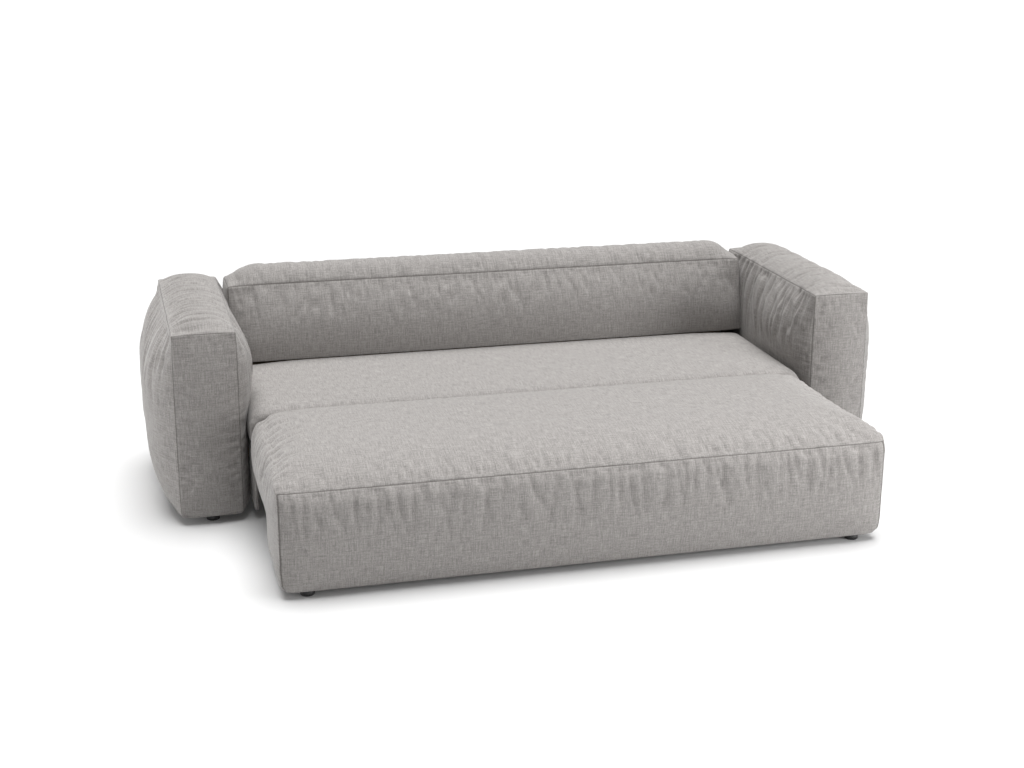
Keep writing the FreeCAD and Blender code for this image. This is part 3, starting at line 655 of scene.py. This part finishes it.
def add_folds(piece, shell, folds):
    """Sink each fold's creases, and the seams' grooves, into the piece along its normals. A fold
    names its panel's direction and gives a depth in metres at rest places."""
    mesh = piece.data
    places = read(mesh.vertices, "co", length=3)
    normals = read(mesh.vertices, "normal", length=3)
    rest = read(mesh.attributes["rest"].data, "vector", length=3)
    gap = read(mesh.attributes["seam_gap"].data, "value").astype(float)
    panel_of_face = read(mesh.attributes["panel"].data, "value", np.int32)
    loops = read(mesh.loops, "vertex_index", np.int32)
    loop_panels = np.repeat(panel_of_face, read(mesh.polygons, "loop_total", np.int32))
    depth = np.zeros(len(places))
    for direction, fold in folds:
        numbers = [i for i, panel in enumerate(shell.panels) if panel[0] == direction]
        chosen = np.unique(loops[np.isin(loop_panels, numbers)])
        depth[chosen] = np.maximum(depth[chosen], fold(*rest[chosen].T))
    depth *= dome(gap, SEAM_CALM)
    depth += SEAM_DEPTH * np.exp(-(gap / SEAM_HALF_WIDTH) ** 2)
    places -= normals * depth[:, None]
    mesh.vertices.foreach_set("co", places.astype(np.float32).ravel())
    mesh.update()


def sewn(shell, name, growth, folds, gain):
    """A padded piece from its shell: wrinkled as cloth, refined, with fine folds and seams."""
    buckle(shell, name, growth, folds, gain)
    fine = [(direction, lambda x, y, z, fold=fold: FINE_SHARE * fold(x, y, z))
            for direction, fold in folds]
    piece = refined(shell.mesh(name), name)
    add_folds(piece, shell, fine)
    return piece


def finish_padded(piece, body, fill, *nodes):
    piece.data.materials.append(FABRIC)
    piece.data.polygons.foreach_set("use_smooth", np.ones(len(piece.data.polygons), bool))
    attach(piece, body)
    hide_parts(*nodes)


# Arms. Every padded piece has its seams' places and the lattice's step, then how far its sides
# bulge and from how far off the seams, its softening, its folds, the cloth's growth along each
# axis, the wrinkles' gain and the padding's fill

ARM_INNER = 1.0425
ARM_OUTER = 1.256
ARM_FRONT = -0.0805
ARM_BACK = 0.7495
ARM_LOW = 0.023
ARM_HIGH = 0.673
ARM_STEP = 0.011
ARM_TOP_PILLOW = {"most": 0.038, "x": 0.09, "y": 0.13}
ARM_END_PILLOW = {"most": 0.022, "x": 0.10, "z": 0.18}
ARM_BOTTOM_PILLOW = {"most": 0.004, "x": 0.05, "y": 0.05}
ARM_OUTER_BULGE = 0.088
ARM_OUTER_HEIGHT = 0.26
ARM_OUTER_POWER = 2.4
ARM_OUTER_BELOW = 0.03
ARM_OUTER_ENDS = 0.22
ARM_INNER_BULGE = 0.032
ARM_INNER_TOP = 0.13
ARM_INNER_BOTTOM = 0.05
ARM_INNER_FRONT = 0.09
ARM_INNER_BACK = 0.03
# More bulge beside the backrest, from a place in depth on
ARM_BESIDE_BULGE = 0.007
ARM_BESIDE_START = 0.58
ARM_BESIDE_REACH = 0.08
# A belly on the inner side, with its middle and half widths in depth and height
ARM_BELLY = 0.036
ARM_BELLY_DEEP = (0.16, 0.24)
ARM_BELLY_HIGH = (0.50, 0.10)
ARM_BOTTOM_RADIUS = 0.018
ARM_SOFT_ROUNDS = 6
ARM_SOFT = 0.12
ARM_SOFT_BOTTOM = 0.4
ARM_SOFT_HIGH = 0.10
ARM_TOP_RIBS = Folds(0.0085, 0.036, 0.40, 0.05, 0.20, least=0.6)
ARM_SIDE_RIBS = Folds(0.0085, 0.036, 0.40, 0.08, 0.42)
ARM_INNER_RIBS = Folds(0.0100, 0.044, 0.34, 0.10, 0.32, seed=5)
ARM_INNER_RIB_ENDS = 0.10
ARM_END_PUCKERS = Folds(0.0060, 0.030, 0.10, 0.03, 0.10, seed=8)
ARM_END_TOP_PUCKERS = Folds(0.0045, 0.026, 0.08, 0.02, 0.08, seed=9)
ARM_SIDE_PUCKERS = Folds(0.0050, 0.036, 0.12, 0.0, 0.10, seed=11)
ARM_GROWTH = (1.01, 1.05, 1.025)
ARM_GAIN = 1.8
ARM_FILL = 0.8


def make_arm(name, side, seed):
    inner, outer = side * ARM_INNER, side * ARM_OUTER
    shell = Shell(stations(min(inner, outer), max(inner, outer), ARM_STEP),
                  stations(ARM_FRONT, ARM_BACK, ARM_STEP), stations(ARM_LOW, ARM_HIGH, ARM_STEP))
    outward, inward = ("+x", "-x") if side > 0 else ("-x", "+x")
    for x in (inner, outer):
        shell.seam(x=x, z=ARM_HIGH)
        for y in (ARM_FRONT, ARM_BACK):
            shell.seam(x=x, y=y)
    for y in (ARM_FRONT, ARM_BACK):
        shell.seam(y=y, z=ARM_HIGH)

    def outer_bulge(x, y, z):
        tall = (dome(ARM_HIGH - z, ARM_OUTER_HEIGHT, ARM_OUTER_POWER)
                * dome(z - ARM_LOW + ARM_OUTER_BELOW, ARM_OUTER_HEIGHT))
        return ARM_OUTER_BULGE * tall * between(y, ARM_FRONT, ARM_BACK, ARM_OUTER_ENDS)

    def bell(value, middle, half_width):
        return np.exp(-((value - middle) / half_width) ** 2)

    def inner_bulge(x, y, z):
        tall = dome(ARM_HIGH - z, ARM_INNER_TOP) * dome(z - ARM_LOW, ARM_INNER_BOTTOM)
        ends = dome(y - ARM_FRONT, ARM_INNER_FRONT) * dome(ARM_BACK - y, ARM_INNER_BACK)
        beside = ARM_BESIDE_BULGE * dome(y - ARM_BESIDE_START, ARM_BESIDE_REACH)
        belly = ARM_BELLY * (bell(z, *ARM_BELLY_HIGH) * bell(y, *ARM_BELLY_DEEP))
        return (ARM_INNER_BULGE + beside + belly) * tall * ends

    shell.pillow("+z", **ARM_TOP_PILLOW)
    shell.bulge(outward, outer_bulge)
    shell.bulge(inward, inner_bulge)
    for face in ("-y", "+y"):
        shell.pillow(face, **ARM_END_PILLOW)
    shell.pillow("-z", **ARM_BOTTOM_PILLOW)

    bottom = (2, -1, ARM_LOW)
    for wall in ((0, side, outer), (0, -side, inner), (1, -1, ARM_FRONT), (1, 1, ARM_BACK)):
        shell.round_edge(wall, bottom, ARM_BOTTOM_RADIUS)
    shell.soften(ARM_SOFT_ROUNDS, lambda x, y, z: ARM_SOFT
                 + ARM_SOFT_BOTTOM * fade(z, ARM_LOW, ARM_SOFT_HIGH))
    shell.hold("-z")

    def from_outer(x):
        return ARM_OUTER - np.abs(x)

    def top_ribs(x, y, z):
        return sunk(ARM_TOP_RIBS, from_outer(x), y, seed)

    def side_ribs(x, y, z):
        return sunk(ARM_SIDE_RIBS, ARM_HIGH - z, y, seed, side=-1)

    def inner_ribs(x, y, z):
        return (sunk(ARM_INNER_RIBS, ARM_HIGH - z, y, seed)
                * between(y, ARM_FRONT, ARM_BACK, ARM_INNER_RIB_ENDS))

    def end_puckers(x, y, z):
        gap = np.minimum(from_outer(x), np.abs(x) - ARM_INNER)
        return (sunk(ARM_END_PUCKERS, gap, z, seed)
                + sunk(ARM_END_TOP_PUCKERS, ARM_HIGH - z, x, seed))

    def side_puckers(x, y, z):
        gap = np.minimum(y - ARM_FRONT, ARM_BACK - y)
        return sunk(ARM_SIDE_PUCKERS, gap, z, seed)

    folds = [("+z", top_ribs), (outward, side_ribs), (inward, inner_ribs),
             ("-y", end_puckers), ("+y", end_puckers),
             (outward, side_puckers), (inward, side_puckers)]
    piece = sewn(shell, name, ARM_GROWTH, folds, ARM_GAIN)
    hand = "right" if side > 0 else "left"
    finish_padded(piece, "sofa_base", ARM_FILL, f"{hand}_arm_cover")


# Backrest

BACK_HALF = 1.016
BACK_FRONT = 0.5695
BACK_BACK = 0.7495
BACK_LOW = 0.399
BACK_HIGH = 0.673
BACK_STEP = 0.012
# How far the front's lower edge stands forward of its upper one
BACK_FOOT = 0.065
BACK_TOP_PILLOW = {"most": 0.060, "x": 0.13, "y": 0.09}
BACK_REAR_PILLOW = {"most": 0.006, "x": 0.16, "z": 0.10}
BACK_END_PILLOW = {"most": 0.010, "y": 0.09, "z": 0.10}
BACK_FRONT_BULGE = 0.046
BACK_FRONT_ENDS = 0.12
BACK_FRONT_TOP = 0.20
BACK_FRONT_POWER = 2.0
BACK_FRONT_BELOW = 0.03
BACK_FRONT_BOTTOM = 0.13
BACK_SOFT_ROUNDS = 12
BACK_SOFT = 0.15
BACK_SOFT_EDGE = 0.8
BACK_EDGE_REACH = 0.08
BACK_EDGE_CORE = 0.3
BACK_SOFT_BOTTOM = 0.06
BACK_SEED = 41
BACK_TOP_FOLDS = Folds(0.0050, 0.040, 0.16, 0.02, 0.14, least=0.45)
BACK_FRONT_FOLDS = Folds(0.0070, 0.040, 0.16, 0.03, 0.20)
BACK_GROWTH = (1.05, 1.01, 1.02)
BACK_GAIN = 1.6
BACK_FILL = 0.75


def make_backrest():
    shell = Shell(stations(-BACK_HALF, BACK_HALF, BACK_STEP),
                  stations(BACK_FRONT, BACK_BACK, BACK_STEP),
                  stations(BACK_LOW, BACK_HIGH, BACK_STEP))
    for y in (BACK_FRONT, BACK_BACK):
        shell.seam(y=y, z=BACK_HIGH)
        for x in (-BACK_HALF, BACK_HALF):
            shell.seam(x=x, y=y)
    for x in (-BACK_HALF, BACK_HALF):
        shell.seam(x=x, z=BACK_HIGH)
    lean = (BACK_HIGH - shell.rest[:, 2]) / (BACK_HIGH - BACK_LOW)
    reach = (BACK_BACK - shell.rest[:, 1]) / (BACK_BACK - BACK_FRONT)
    shell.places[:, 1] -= BACK_FOOT * lean * reach

    def front_bulge(x, y, z):
        tall = (dome(BACK_HIGH - z, BACK_FRONT_TOP, BACK_FRONT_POWER)
                * dome(z - BACK_LOW + BACK_FRONT_BELOW, BACK_FRONT_BOTTOM))
        return BACK_FRONT_BULGE * between(x, -BACK_HALF, BACK_HALF, BACK_FRONT_ENDS) * tall

    shell.pillow("+z", **BACK_TOP_PILLOW)
    shell.bulge("-y", front_bulge)
    shell.pillow("+y", **BACK_REAR_PILLOW)
    for end in ("-x", "+x"):
        shell.pillow(end, **BACK_END_PILLOW)

    def near_edge(first, second):
        """1 at an edge, given the gaps from both sides that meet there, and 0 past its reach."""
        gap = np.maximum(np.abs(first), np.abs(second))
        return fade(gap, BACK_EDGE_CORE * BACK_EDGE_REACH, BACK_EDGE_REACH)

    def soft_edges(x, y, z):
        end = BACK_HALF - np.abs(x)
        edge = np.maximum(near_edge(end, y - BACK_FRONT), near_edge(end, BACK_HIGH - z))
        return np.maximum(BACK_SOFT, BACK_SOFT_EDGE * edge) * dome(z - BACK_LOW, BACK_SOFT_BOTTOM)

    shell.soften(BACK_SOFT_ROUNDS, soft_edges)
    shell.hold("-z")

    def top_folds(x, y, z):
        return sunk(BACK_TOP_FOLDS, y - BACK_FRONT, x, BACK_SEED)

    def front_folds(x, y, z):
        return sunk(BACK_FRONT_FOLDS, BACK_HIGH - z, x, BACK_SEED, side=-1)

    folds = [("+z", top_folds), ("-y", front_folds)]
    piece = sewn(shell, "backrest_cushion", BACK_GROWTH, folds, BACK_GAIN)
    finish_padded(piece, "sofa_base", BACK_FILL, "backrest_cover")


# Front block: a box on the floor, with an overhang behind it that covers the rear section's front

BLOCK_HALF = 0.996
BLOCK_FRONT = -0.765
BLOCK_BACK = -0.0905
BLOCK_LOW = 0.022
BLOCK_SEAM = 0.358
BLOCK_UNDER = 0.185
BOX_BACK = -0.4605
BLOCK_STEP = 0.012
# The top's crown, and what is left of it at the ends and at the back edge
BLOCK_CROWN = 0.051
BLOCK_CROWN_REACH = 0.28
BLOCK_CROWN_POWER = 2.6
BLOCK_CROWN_ENDS = 0.68
BLOCK_CROWN_END_REACH = 0.24
BLOCK_CROWN_BACK = 0.95
BLOCK_CROWN_BACK_REACH = 0.20
BLOCK_FRONT_BULGE = 0.016
BLOCK_FRONT_ENDS = 0.14
BLOCK_FRONT_TOP = 0.13
BLOCK_FRONT_BOTTOM = 0.10
# The ends bulge from low down, and a little more above a height
BLOCK_END_BULGE = 0.011
BLOCK_END_BELOW = 0.01
BLOCK_END_REACH = 0.10
BLOCK_HIGH_BULGE = 0.007
BLOCK_HIGH_FRONT = 0.16
BLOCK_HIGH_START = 0.16
BLOCK_HIGH_REACH = 0.14
BLOCK_BOTTOM_BULGE = 0.004
BLOCK_BOTTOM_ENDS = 0.08
# Radii of the edges, named by the sides that meet. The one over the ends grows from the front
END_TOP_RADIUS = 0.075
END_TOP_REACH = 0.30
END_TOP_POWER = 1.6
END_BOTTOM_RADIUS = 0.022
END_BACK_RADIUS = 0.035
END_FRONT_RADIUS = 0.020
BACK_TOP_RADIUS = 0.030
FRONT_TOP_RADIUS = 0.055
FRONT_BOTTOM_RADIUS = 0.018
BOX_BACK_RADIUS = 0.030
BLOCK_SOFT_ROUNDS = 8
BLOCK_SOFT = 0.20
BLOCK_SOFT_TOP = 0.5
BLOCK_SOFT_REACH = 0.06
BLOCK_SOFT_ABOVE = 0.2
BLOCK_SEED = 61
BLOCK_TOP_FOLDS = Folds(0.0080, 0.042, 0.16, 0.03, 0.13)
BLOCK_FRONT_FOLDS = Folds(0.0085, 0.042, 0.24, 0.06, 0.26)
BLOCK_END_FOLDS = Folds(0.0065, 0.050, 0.20, 0.06, 0.16, seed=6)
BLOCK_END_TOP_FOLDS = Folds(0.0065, 0.050, 0.20, 0.02, 0.15, seed=6)
BLOCK_GROWTH = (1.05, 1.03, 1.01)
BLOCK_GAIN = 1.4
BLOCK_FILL = 0.85


def make_block():
    ys = (stations(BLOCK_FRONT, BOX_BACK, BLOCK_STEP)
          + stations(BOX_BACK, BLOCK_BACK, BLOCK_STEP)[1:])
    zs = (stations(BLOCK_LOW, BLOCK_UNDER, BLOCK_STEP)
          + stations(BLOCK_UNDER, BLOCK_SEAM, BLOCK_STEP)[1:])
    shell = Shell(stations(-BLOCK_HALF, BLOCK_HALF, BLOCK_STEP), ys, zs,
                  lambda y, z: z > BLOCK_UNDER or y < BOX_BACK)
    shell.seam(y=BLOCK_FRONT, z=BLOCK_SEAM)
    for x in (-BLOCK_HALF, BLOCK_HALF):
        shell.seam(x=x, y=BLOCK_FRONT)

    def wide(x, reach):
        return between(x, -BLOCK_HALF, BLOCK_HALF, reach)

    def crown(x, y):
        back = partly(BLOCK_CROWN_BACK, dome(BLOCK_BACK - y, BLOCK_CROWN_BACK_REACH))
        ends = partly(BLOCK_CROWN_ENDS, wide(x, BLOCK_CROWN_END_REACH))
        front = dome(y - BLOCK_FRONT, BLOCK_CROWN_REACH, BLOCK_CROWN_POWER)
        return BLOCK_CROWN * ends * front * back

    def front_bulge(x, y, z):
        tall = dome(BLOCK_SEAM - z, BLOCK_FRONT_TOP) * dome(z - BLOCK_LOW, BLOCK_FRONT_BOTTOM)
        return BLOCK_FRONT_BULGE * wide(x, BLOCK_FRONT_ENDS) * tall

    def end_bulge(x, y, z):
        high = (BLOCK_HIGH_BULGE * dome(y - BLOCK_FRONT, BLOCK_HIGH_FRONT)
                * dome(z - BLOCK_HIGH_START, BLOCK_HIGH_REACH))
        return high + BLOCK_END_BULGE * dome(z - BLOCK_LOW + BLOCK_END_BELOW, BLOCK_END_REACH)

    def bottom_bulge(x, y, z):
        return BLOCK_BOTTOM_BULGE * (z < BLOCK_UNDER) * wide(x, BLOCK_BOTTOM_ENDS)

    x, y, z = shell.rest.T
    lifted = np.clip((z - BLOCK_UNDER) / (BLOCK_SEAM - BLOCK_UNDER), 0, 1)
    shell.places[:, 2] += crown(x, y) * lifted
    shell.bulge("-y", front_bulge)
    for end in ("-x", "+x"):
        shell.bulge(end, end_bulge)
    shell.bulge("-z", bottom_bulge)

    front, back = (1, -1, BLOCK_FRONT), (1, 1, BLOCK_BACK)
    box_back = (1, 1, BOX_BACK)
    top, bottom = (2, 1, BLOCK_SEAM), (2, -1, BLOCK_LOW)
    for sign in (-1, 1):
        end = (0, sign, sign * BLOCK_HALF)
        shell.round_edge(end, top, END_TOP_RADIUS
                         * dome(y - BLOCK_FRONT, END_TOP_REACH, END_TOP_POWER))
        shell.round_edge(end, bottom, END_BOTTOM_RADIUS)
        shell.round_edge(end, back, END_BACK_RADIUS)
        shell.round_edge(end, front, END_FRONT_RADIUS)
    shell.round_edge(back, top, BACK_TOP_RADIUS)
    shell.round_edge(front, top, FRONT_TOP_RADIUS)
    shell.round_edge(front, bottom, FRONT_BOTTOM_RADIUS)
    shell.round_edge(box_back, bottom, BOX_BACK_RADIUS)
    shell.soften(BLOCK_SOFT_ROUNDS, lambda x, y, z: BLOCK_SOFT
                 + BLOCK_SOFT_TOP * dome(y - BLOCK_FRONT, BLOCK_SOFT_REACH)
                 * (z > BLOCK_SOFT_ABOVE))
    shell.hold("-z")
    shell.hold("+y")

    def front_folds(x, y, z):
        return sunk(BLOCK_FRONT_FOLDS, BLOCK_SEAM - z, x, BLOCK_SEED, side=-1)

    def end_folds(x, y, z):
        return sunk(BLOCK_END_FOLDS, BLOCK_SEAM - z, y, BLOCK_SEED)

    def top_folds(x, y, z):
        along_front = sunk(BLOCK_TOP_FOLDS, y - BLOCK_FRONT, x, BLOCK_SEED)
        at_ends = sunk(BLOCK_END_TOP_FOLDS, BLOCK_HALF - np.abs(x), y, BLOCK_SEED, side=-1)
        return np.maximum(along_front, at_ends)

    folds = [("+z", top_folds), ("-y", front_folds), ("-x", end_folds), ("+x", end_folds)]
    piece = sewn(shell, "seat_block", BLOCK_GROWTH, folds, BLOCK_GAIN)
    finish_padded(piece, "block", BLOCK_FILL, "block_cover")
    return piece


# Rear seat, smooth and without seams

REAR_HALF = 1.012
REAR_FRONT = -0.0805
REAR_BACK = 0.4895
REAR_LOW = 0.285
REAR_HIGH = 0.386
REAR_STEP = 0.016
REAR_BULGE = 0.014
REAR_BULGE_ENDS = 0.3
REAR_BULGE_FRONT = 0.2
REAR_END_TOP_RADIUS = 0.045
REAR_END_FRONT_RADIUS = 0.015
REAR_FRONT_TOP_RADIUS = 0.040
REAR_BACK_TOP_RADIUS = 0.012
REAR_SOFT_ROUNDS = 4
REAR_SOFT = 0.4
REAR_SOFT_BACK = 0.05
REAR_FILL = 0.9


def make_rear_seat():
    shell = Shell(stations(-REAR_HALF, REAR_HALF, REAR_STEP),
                  stations(REAR_FRONT, REAR_BACK, REAR_STEP),
                  stations(REAR_LOW, REAR_HIGH, REAR_STEP))
    shell.bulge("+z", lambda x, y, z: REAR_BULGE
                * between(x, -REAR_HALF, REAR_HALF, REAR_BULGE_ENDS)
                * dome(y - REAR_FRONT, REAR_BULGE_FRONT))

    top = (2, 1, REAR_HIGH)
    front, back = (1, -1, REAR_FRONT), (1, 1, REAR_BACK)
    for sign in (-1, 1):
        end = (0, sign, sign * REAR_HALF)
        shell.round_edge(end, top, REAR_END_TOP_RADIUS)
        shell.round_edge(end, front, REAR_END_FRONT_RADIUS)
    shell.round_edge(front, top, REAR_FRONT_TOP_RADIUS)
    shell.round_edge(back, top, REAR_BACK_TOP_RADIUS)
    shell.soften(REAR_SOFT_ROUNDS, lambda x, y, z: REAR_SOFT * dome(REAR_BACK - y, REAR_SOFT_BACK))
    piece = refined(shell.mesh("rear_seat"), "rear_seat")
    add_folds(piece, shell, [])
    finish_padded(piece, "rear_section", REAR_FILL, "rear_cushion")
    return piece


# Thin padded panels over boards

PANEL_STEP = 0.030
PANEL_EDGE = 0.05
PANEL_FILL = 1.0
SIDE_PADDING = 0.003
WRAP_PADDING = 0.004
# The back wrap closes the slot beside each arm
WRAP_WIDER = 0.030


def make_panel(name, node, padding, wider=0.0):
    """A board wrapped in the sofa's cloth, a little padded, with soft edges."""
    low, high = (Vector(corner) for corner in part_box(node))
    low.x -= wider
    high.x += wider
    lines = []
    for axis in range(3):
        count = max(2, round((high[axis] - low[axis]) / PANEL_STEP))
        lines.append([low[axis] + (high[axis] - low[axis]) * i / count
                      for i in range(count + 1)])
    shell = Shell(*lines)
    thin = "xyz"[min(range(3), key=lambda axis: high[axis] - low[axis])]
    reaches = {axis: PANEL_EDGE for axis in "xyz" if axis != thin}
    for sign in "-+":
        shell.pillow(sign + thin, padding, **reaches)
    piece = refined(shell.mesh(name), name)
    finish_padded(piece, "sofa_base", PANEL_FILL, node)


# Round glides, turned: from the floor up a bevelled sole, a waist and a flange

GLIDE_PROFILE = [(0.0, 0.0), (0.0195, 0.0), (0.0215, 0.0012), (0.0228, 0.0040), (0.0230, 0.0120),
                 (0.0218, 0.0150), (0.0205, 0.0175), (0.0205, 0.0255), (0.0226, 0.0270),
                 (0.0230, 0.0285), (0.0230, 0.0300), (0.0, 0.0300)]
GLIDE_TURNS = 40
# Vertices this close together belong to one foot
FOOT_WIDTH = 0.06


def make_glides(name, node, body, spots):
    mesh = bpy.data.meshes.new(name)
    work = bmesh.new()
    for x, y in spots:
        rings = []
        for radius, height in GLIDE_PROFILE:
            if radius == 0.0:
                rings.append([work.verts.new((x, y, height))])
                continue
            angles = [2 * math.pi * turn / GLIDE_TURNS for turn in range(GLIDE_TURNS)]
            rings.append([work.verts.new((x + radius * math.cos(angle),
                                          y + radius * math.sin(angle), height))
                          for angle in angles])
        for lower, upper in zip(rings, rings[1:]):
            for turn in range(GLIDE_TURNS):
                after = (turn + 1) % GLIDE_TURNS
                corners = []
                for ring, number in ((lower, turn), (lower, after), (upper, after), (upper, turn)):
                    corner = ring[number] if len(ring) > 1 else ring[0]
                    if corner not in corners:
                        corners.append(corner)
                work.faces.new(corners)
    bmesh.ops.recalc_face_normals(work, faces=work.faces)
    work.to_mesh(mesh)
    work.free()
    piece = add_object(name, mesh)
    mesh.materials.append(FINISHES["foot_plastic"])
    mesh.polygons.foreach_set("use_smooth", np.ones(len(mesh.polygons), bool))
    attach(piece, body)
    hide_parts(node)


def foot_centres(node):
    """The centres of a node's round feet, found from its vertices seen from above."""
    mesh = frame["nodes"][node].data
    centres = []
    for vertex in mesh.vertices:
        place = Vector((vertex.co.x, vertex.co.y))
        for group in centres:
            if (group[0] - place).length < FOOT_WIDTH:
                group.append(place)
                break
        else:
            centres.append([place])
    return [((min(p.x for p in group) + max(p.x for p in group)) / 2,
             (min(p.y for p in group) + max(p.y for p in group)) / 2) for group in centres]


# Floor and light

SUN_POWER = 4.05
SUN_TOWARD = (-0.05, -0.12, -1.0)
# Angle over which the sun's light spreads, in degrees
SUN_SPREAD = 50
# The sky gives less light than it shows in the picture, and the floor shows a little more
SKY_STRENGTH = 0.20
SKY_SEEN = 1.0
FLOOR_COLOUR = (0.73, 0.73, 0.73)
FLOOR_LIFT = 0.02
FLOOR_REACH = 60.0
# Softboxes: name, place, what it points at, width and power in watts
SOFTBOXES = [("right_softbox", (2.8, -2.6, 1.0), (0.4, -0.5, 0.3), 1.2, 54),
             ("left_softbox", (-3.2, 0.2, 0.55), (-1.2, 0.2, 0.4), 0.8, 11)]


def make_floor():
    mesh = bpy.data.meshes.new("floor")
    near, far = -FLOOR_REACH, FLOOR_REACH
    mesh.from_pydata([(near, near, 0), (far, near, 0), (far, far, 0), (near, far, 0)], [],
                     [(0, 1, 2, 3)])
    floor = add_object("floor", mesh)
    n = Nodes(bpy.data.materials.new("floor"))
    matt = n.add("ShaderNodeBsdfDiffuse")
    matt.inputs["Color"].default_value = (*FLOOR_COLOUR, 1)
    glow = n.add("ShaderNodeEmission")
    n.link(n.math("MULTIPLY", n.seen(), FLOOR_LIFT), glow.inputs["Strength"])
    total = n.add("ShaderNodeAddShader")
    n.link(matt.outputs[0], total.inputs[0])
    n.link(glow.outputs[0], total.inputs[1])
    n.link(total.outputs[0], n.tree.nodes["Material Output"].inputs["Surface"])
    mesh.materials.append(n.owner)


def point(lamp, direction):
    lamp.rotation_euler = Vector(direction).to_track_quat("-Z", "Y").to_euler()


def make_light():
    data = bpy.data.lights.new("sun", "SUN")
    data.energy = SUN_POWER
    data.angle = math.radians(SUN_SPREAD)
    point(add_object("sun", data), SUN_TOWARD)
    for name, place, target, width, power in SOFTBOXES:
        data = bpy.data.lights.new(name, "AREA")
        data.shape = "SQUARE"
        data.size = width
        data.energy = power
        lamp = add_object(name, data)
        lamp.location = place
        point(lamp, Vector(target) - Vector(place))
        lamp.visible_camera = False
    world = bpy.data.worlds.new("world")
    bpy.context.scene.world = world
    n = Nodes(world)
    strength = n.add("ShaderNodeMapRange")
    strength.inputs["To Min"].default_value = SKY_STRENGTH
    strength.inputs["To Max"].default_value = SKY_SEEN
    n.link(n.seen(), strength.inputs["Value"])
    background = n.tree.nodes["Background"]
    n.link(strength.outputs["Result"], background.inputs["Strength"])
    background.inputs["Color"].default_value = (*WHITE, 1)
    bpy.context.scene.view_settings.view_transform = "Standard"


make_camera()
finish_cad_nodes()
make_arm("left_arm", -1, seed=11)
make_arm("right_arm", 1, seed=23)
make_backrest()
block = make_block()
rear = make_rear_seat()
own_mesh(block)
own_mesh(rear)
for hand in ("left", "right"):
    make_panel(f"{hand}_side_cover", f"{hand}_side_panel", SIDE_PADDING)
make_panel("back_wrap", "back_cover", WRAP_PADDING, WRAP_WIDER)
for node, body in (("arm_feet", "sofa_base"), ("back_feet", "sofa_base"), ("block_feet", "block")):
    make_glides(node.replace("feet", "glides"), node, body, foot_centres(node))
make_floor()
make_light()

bpy.context.view_layer.update()
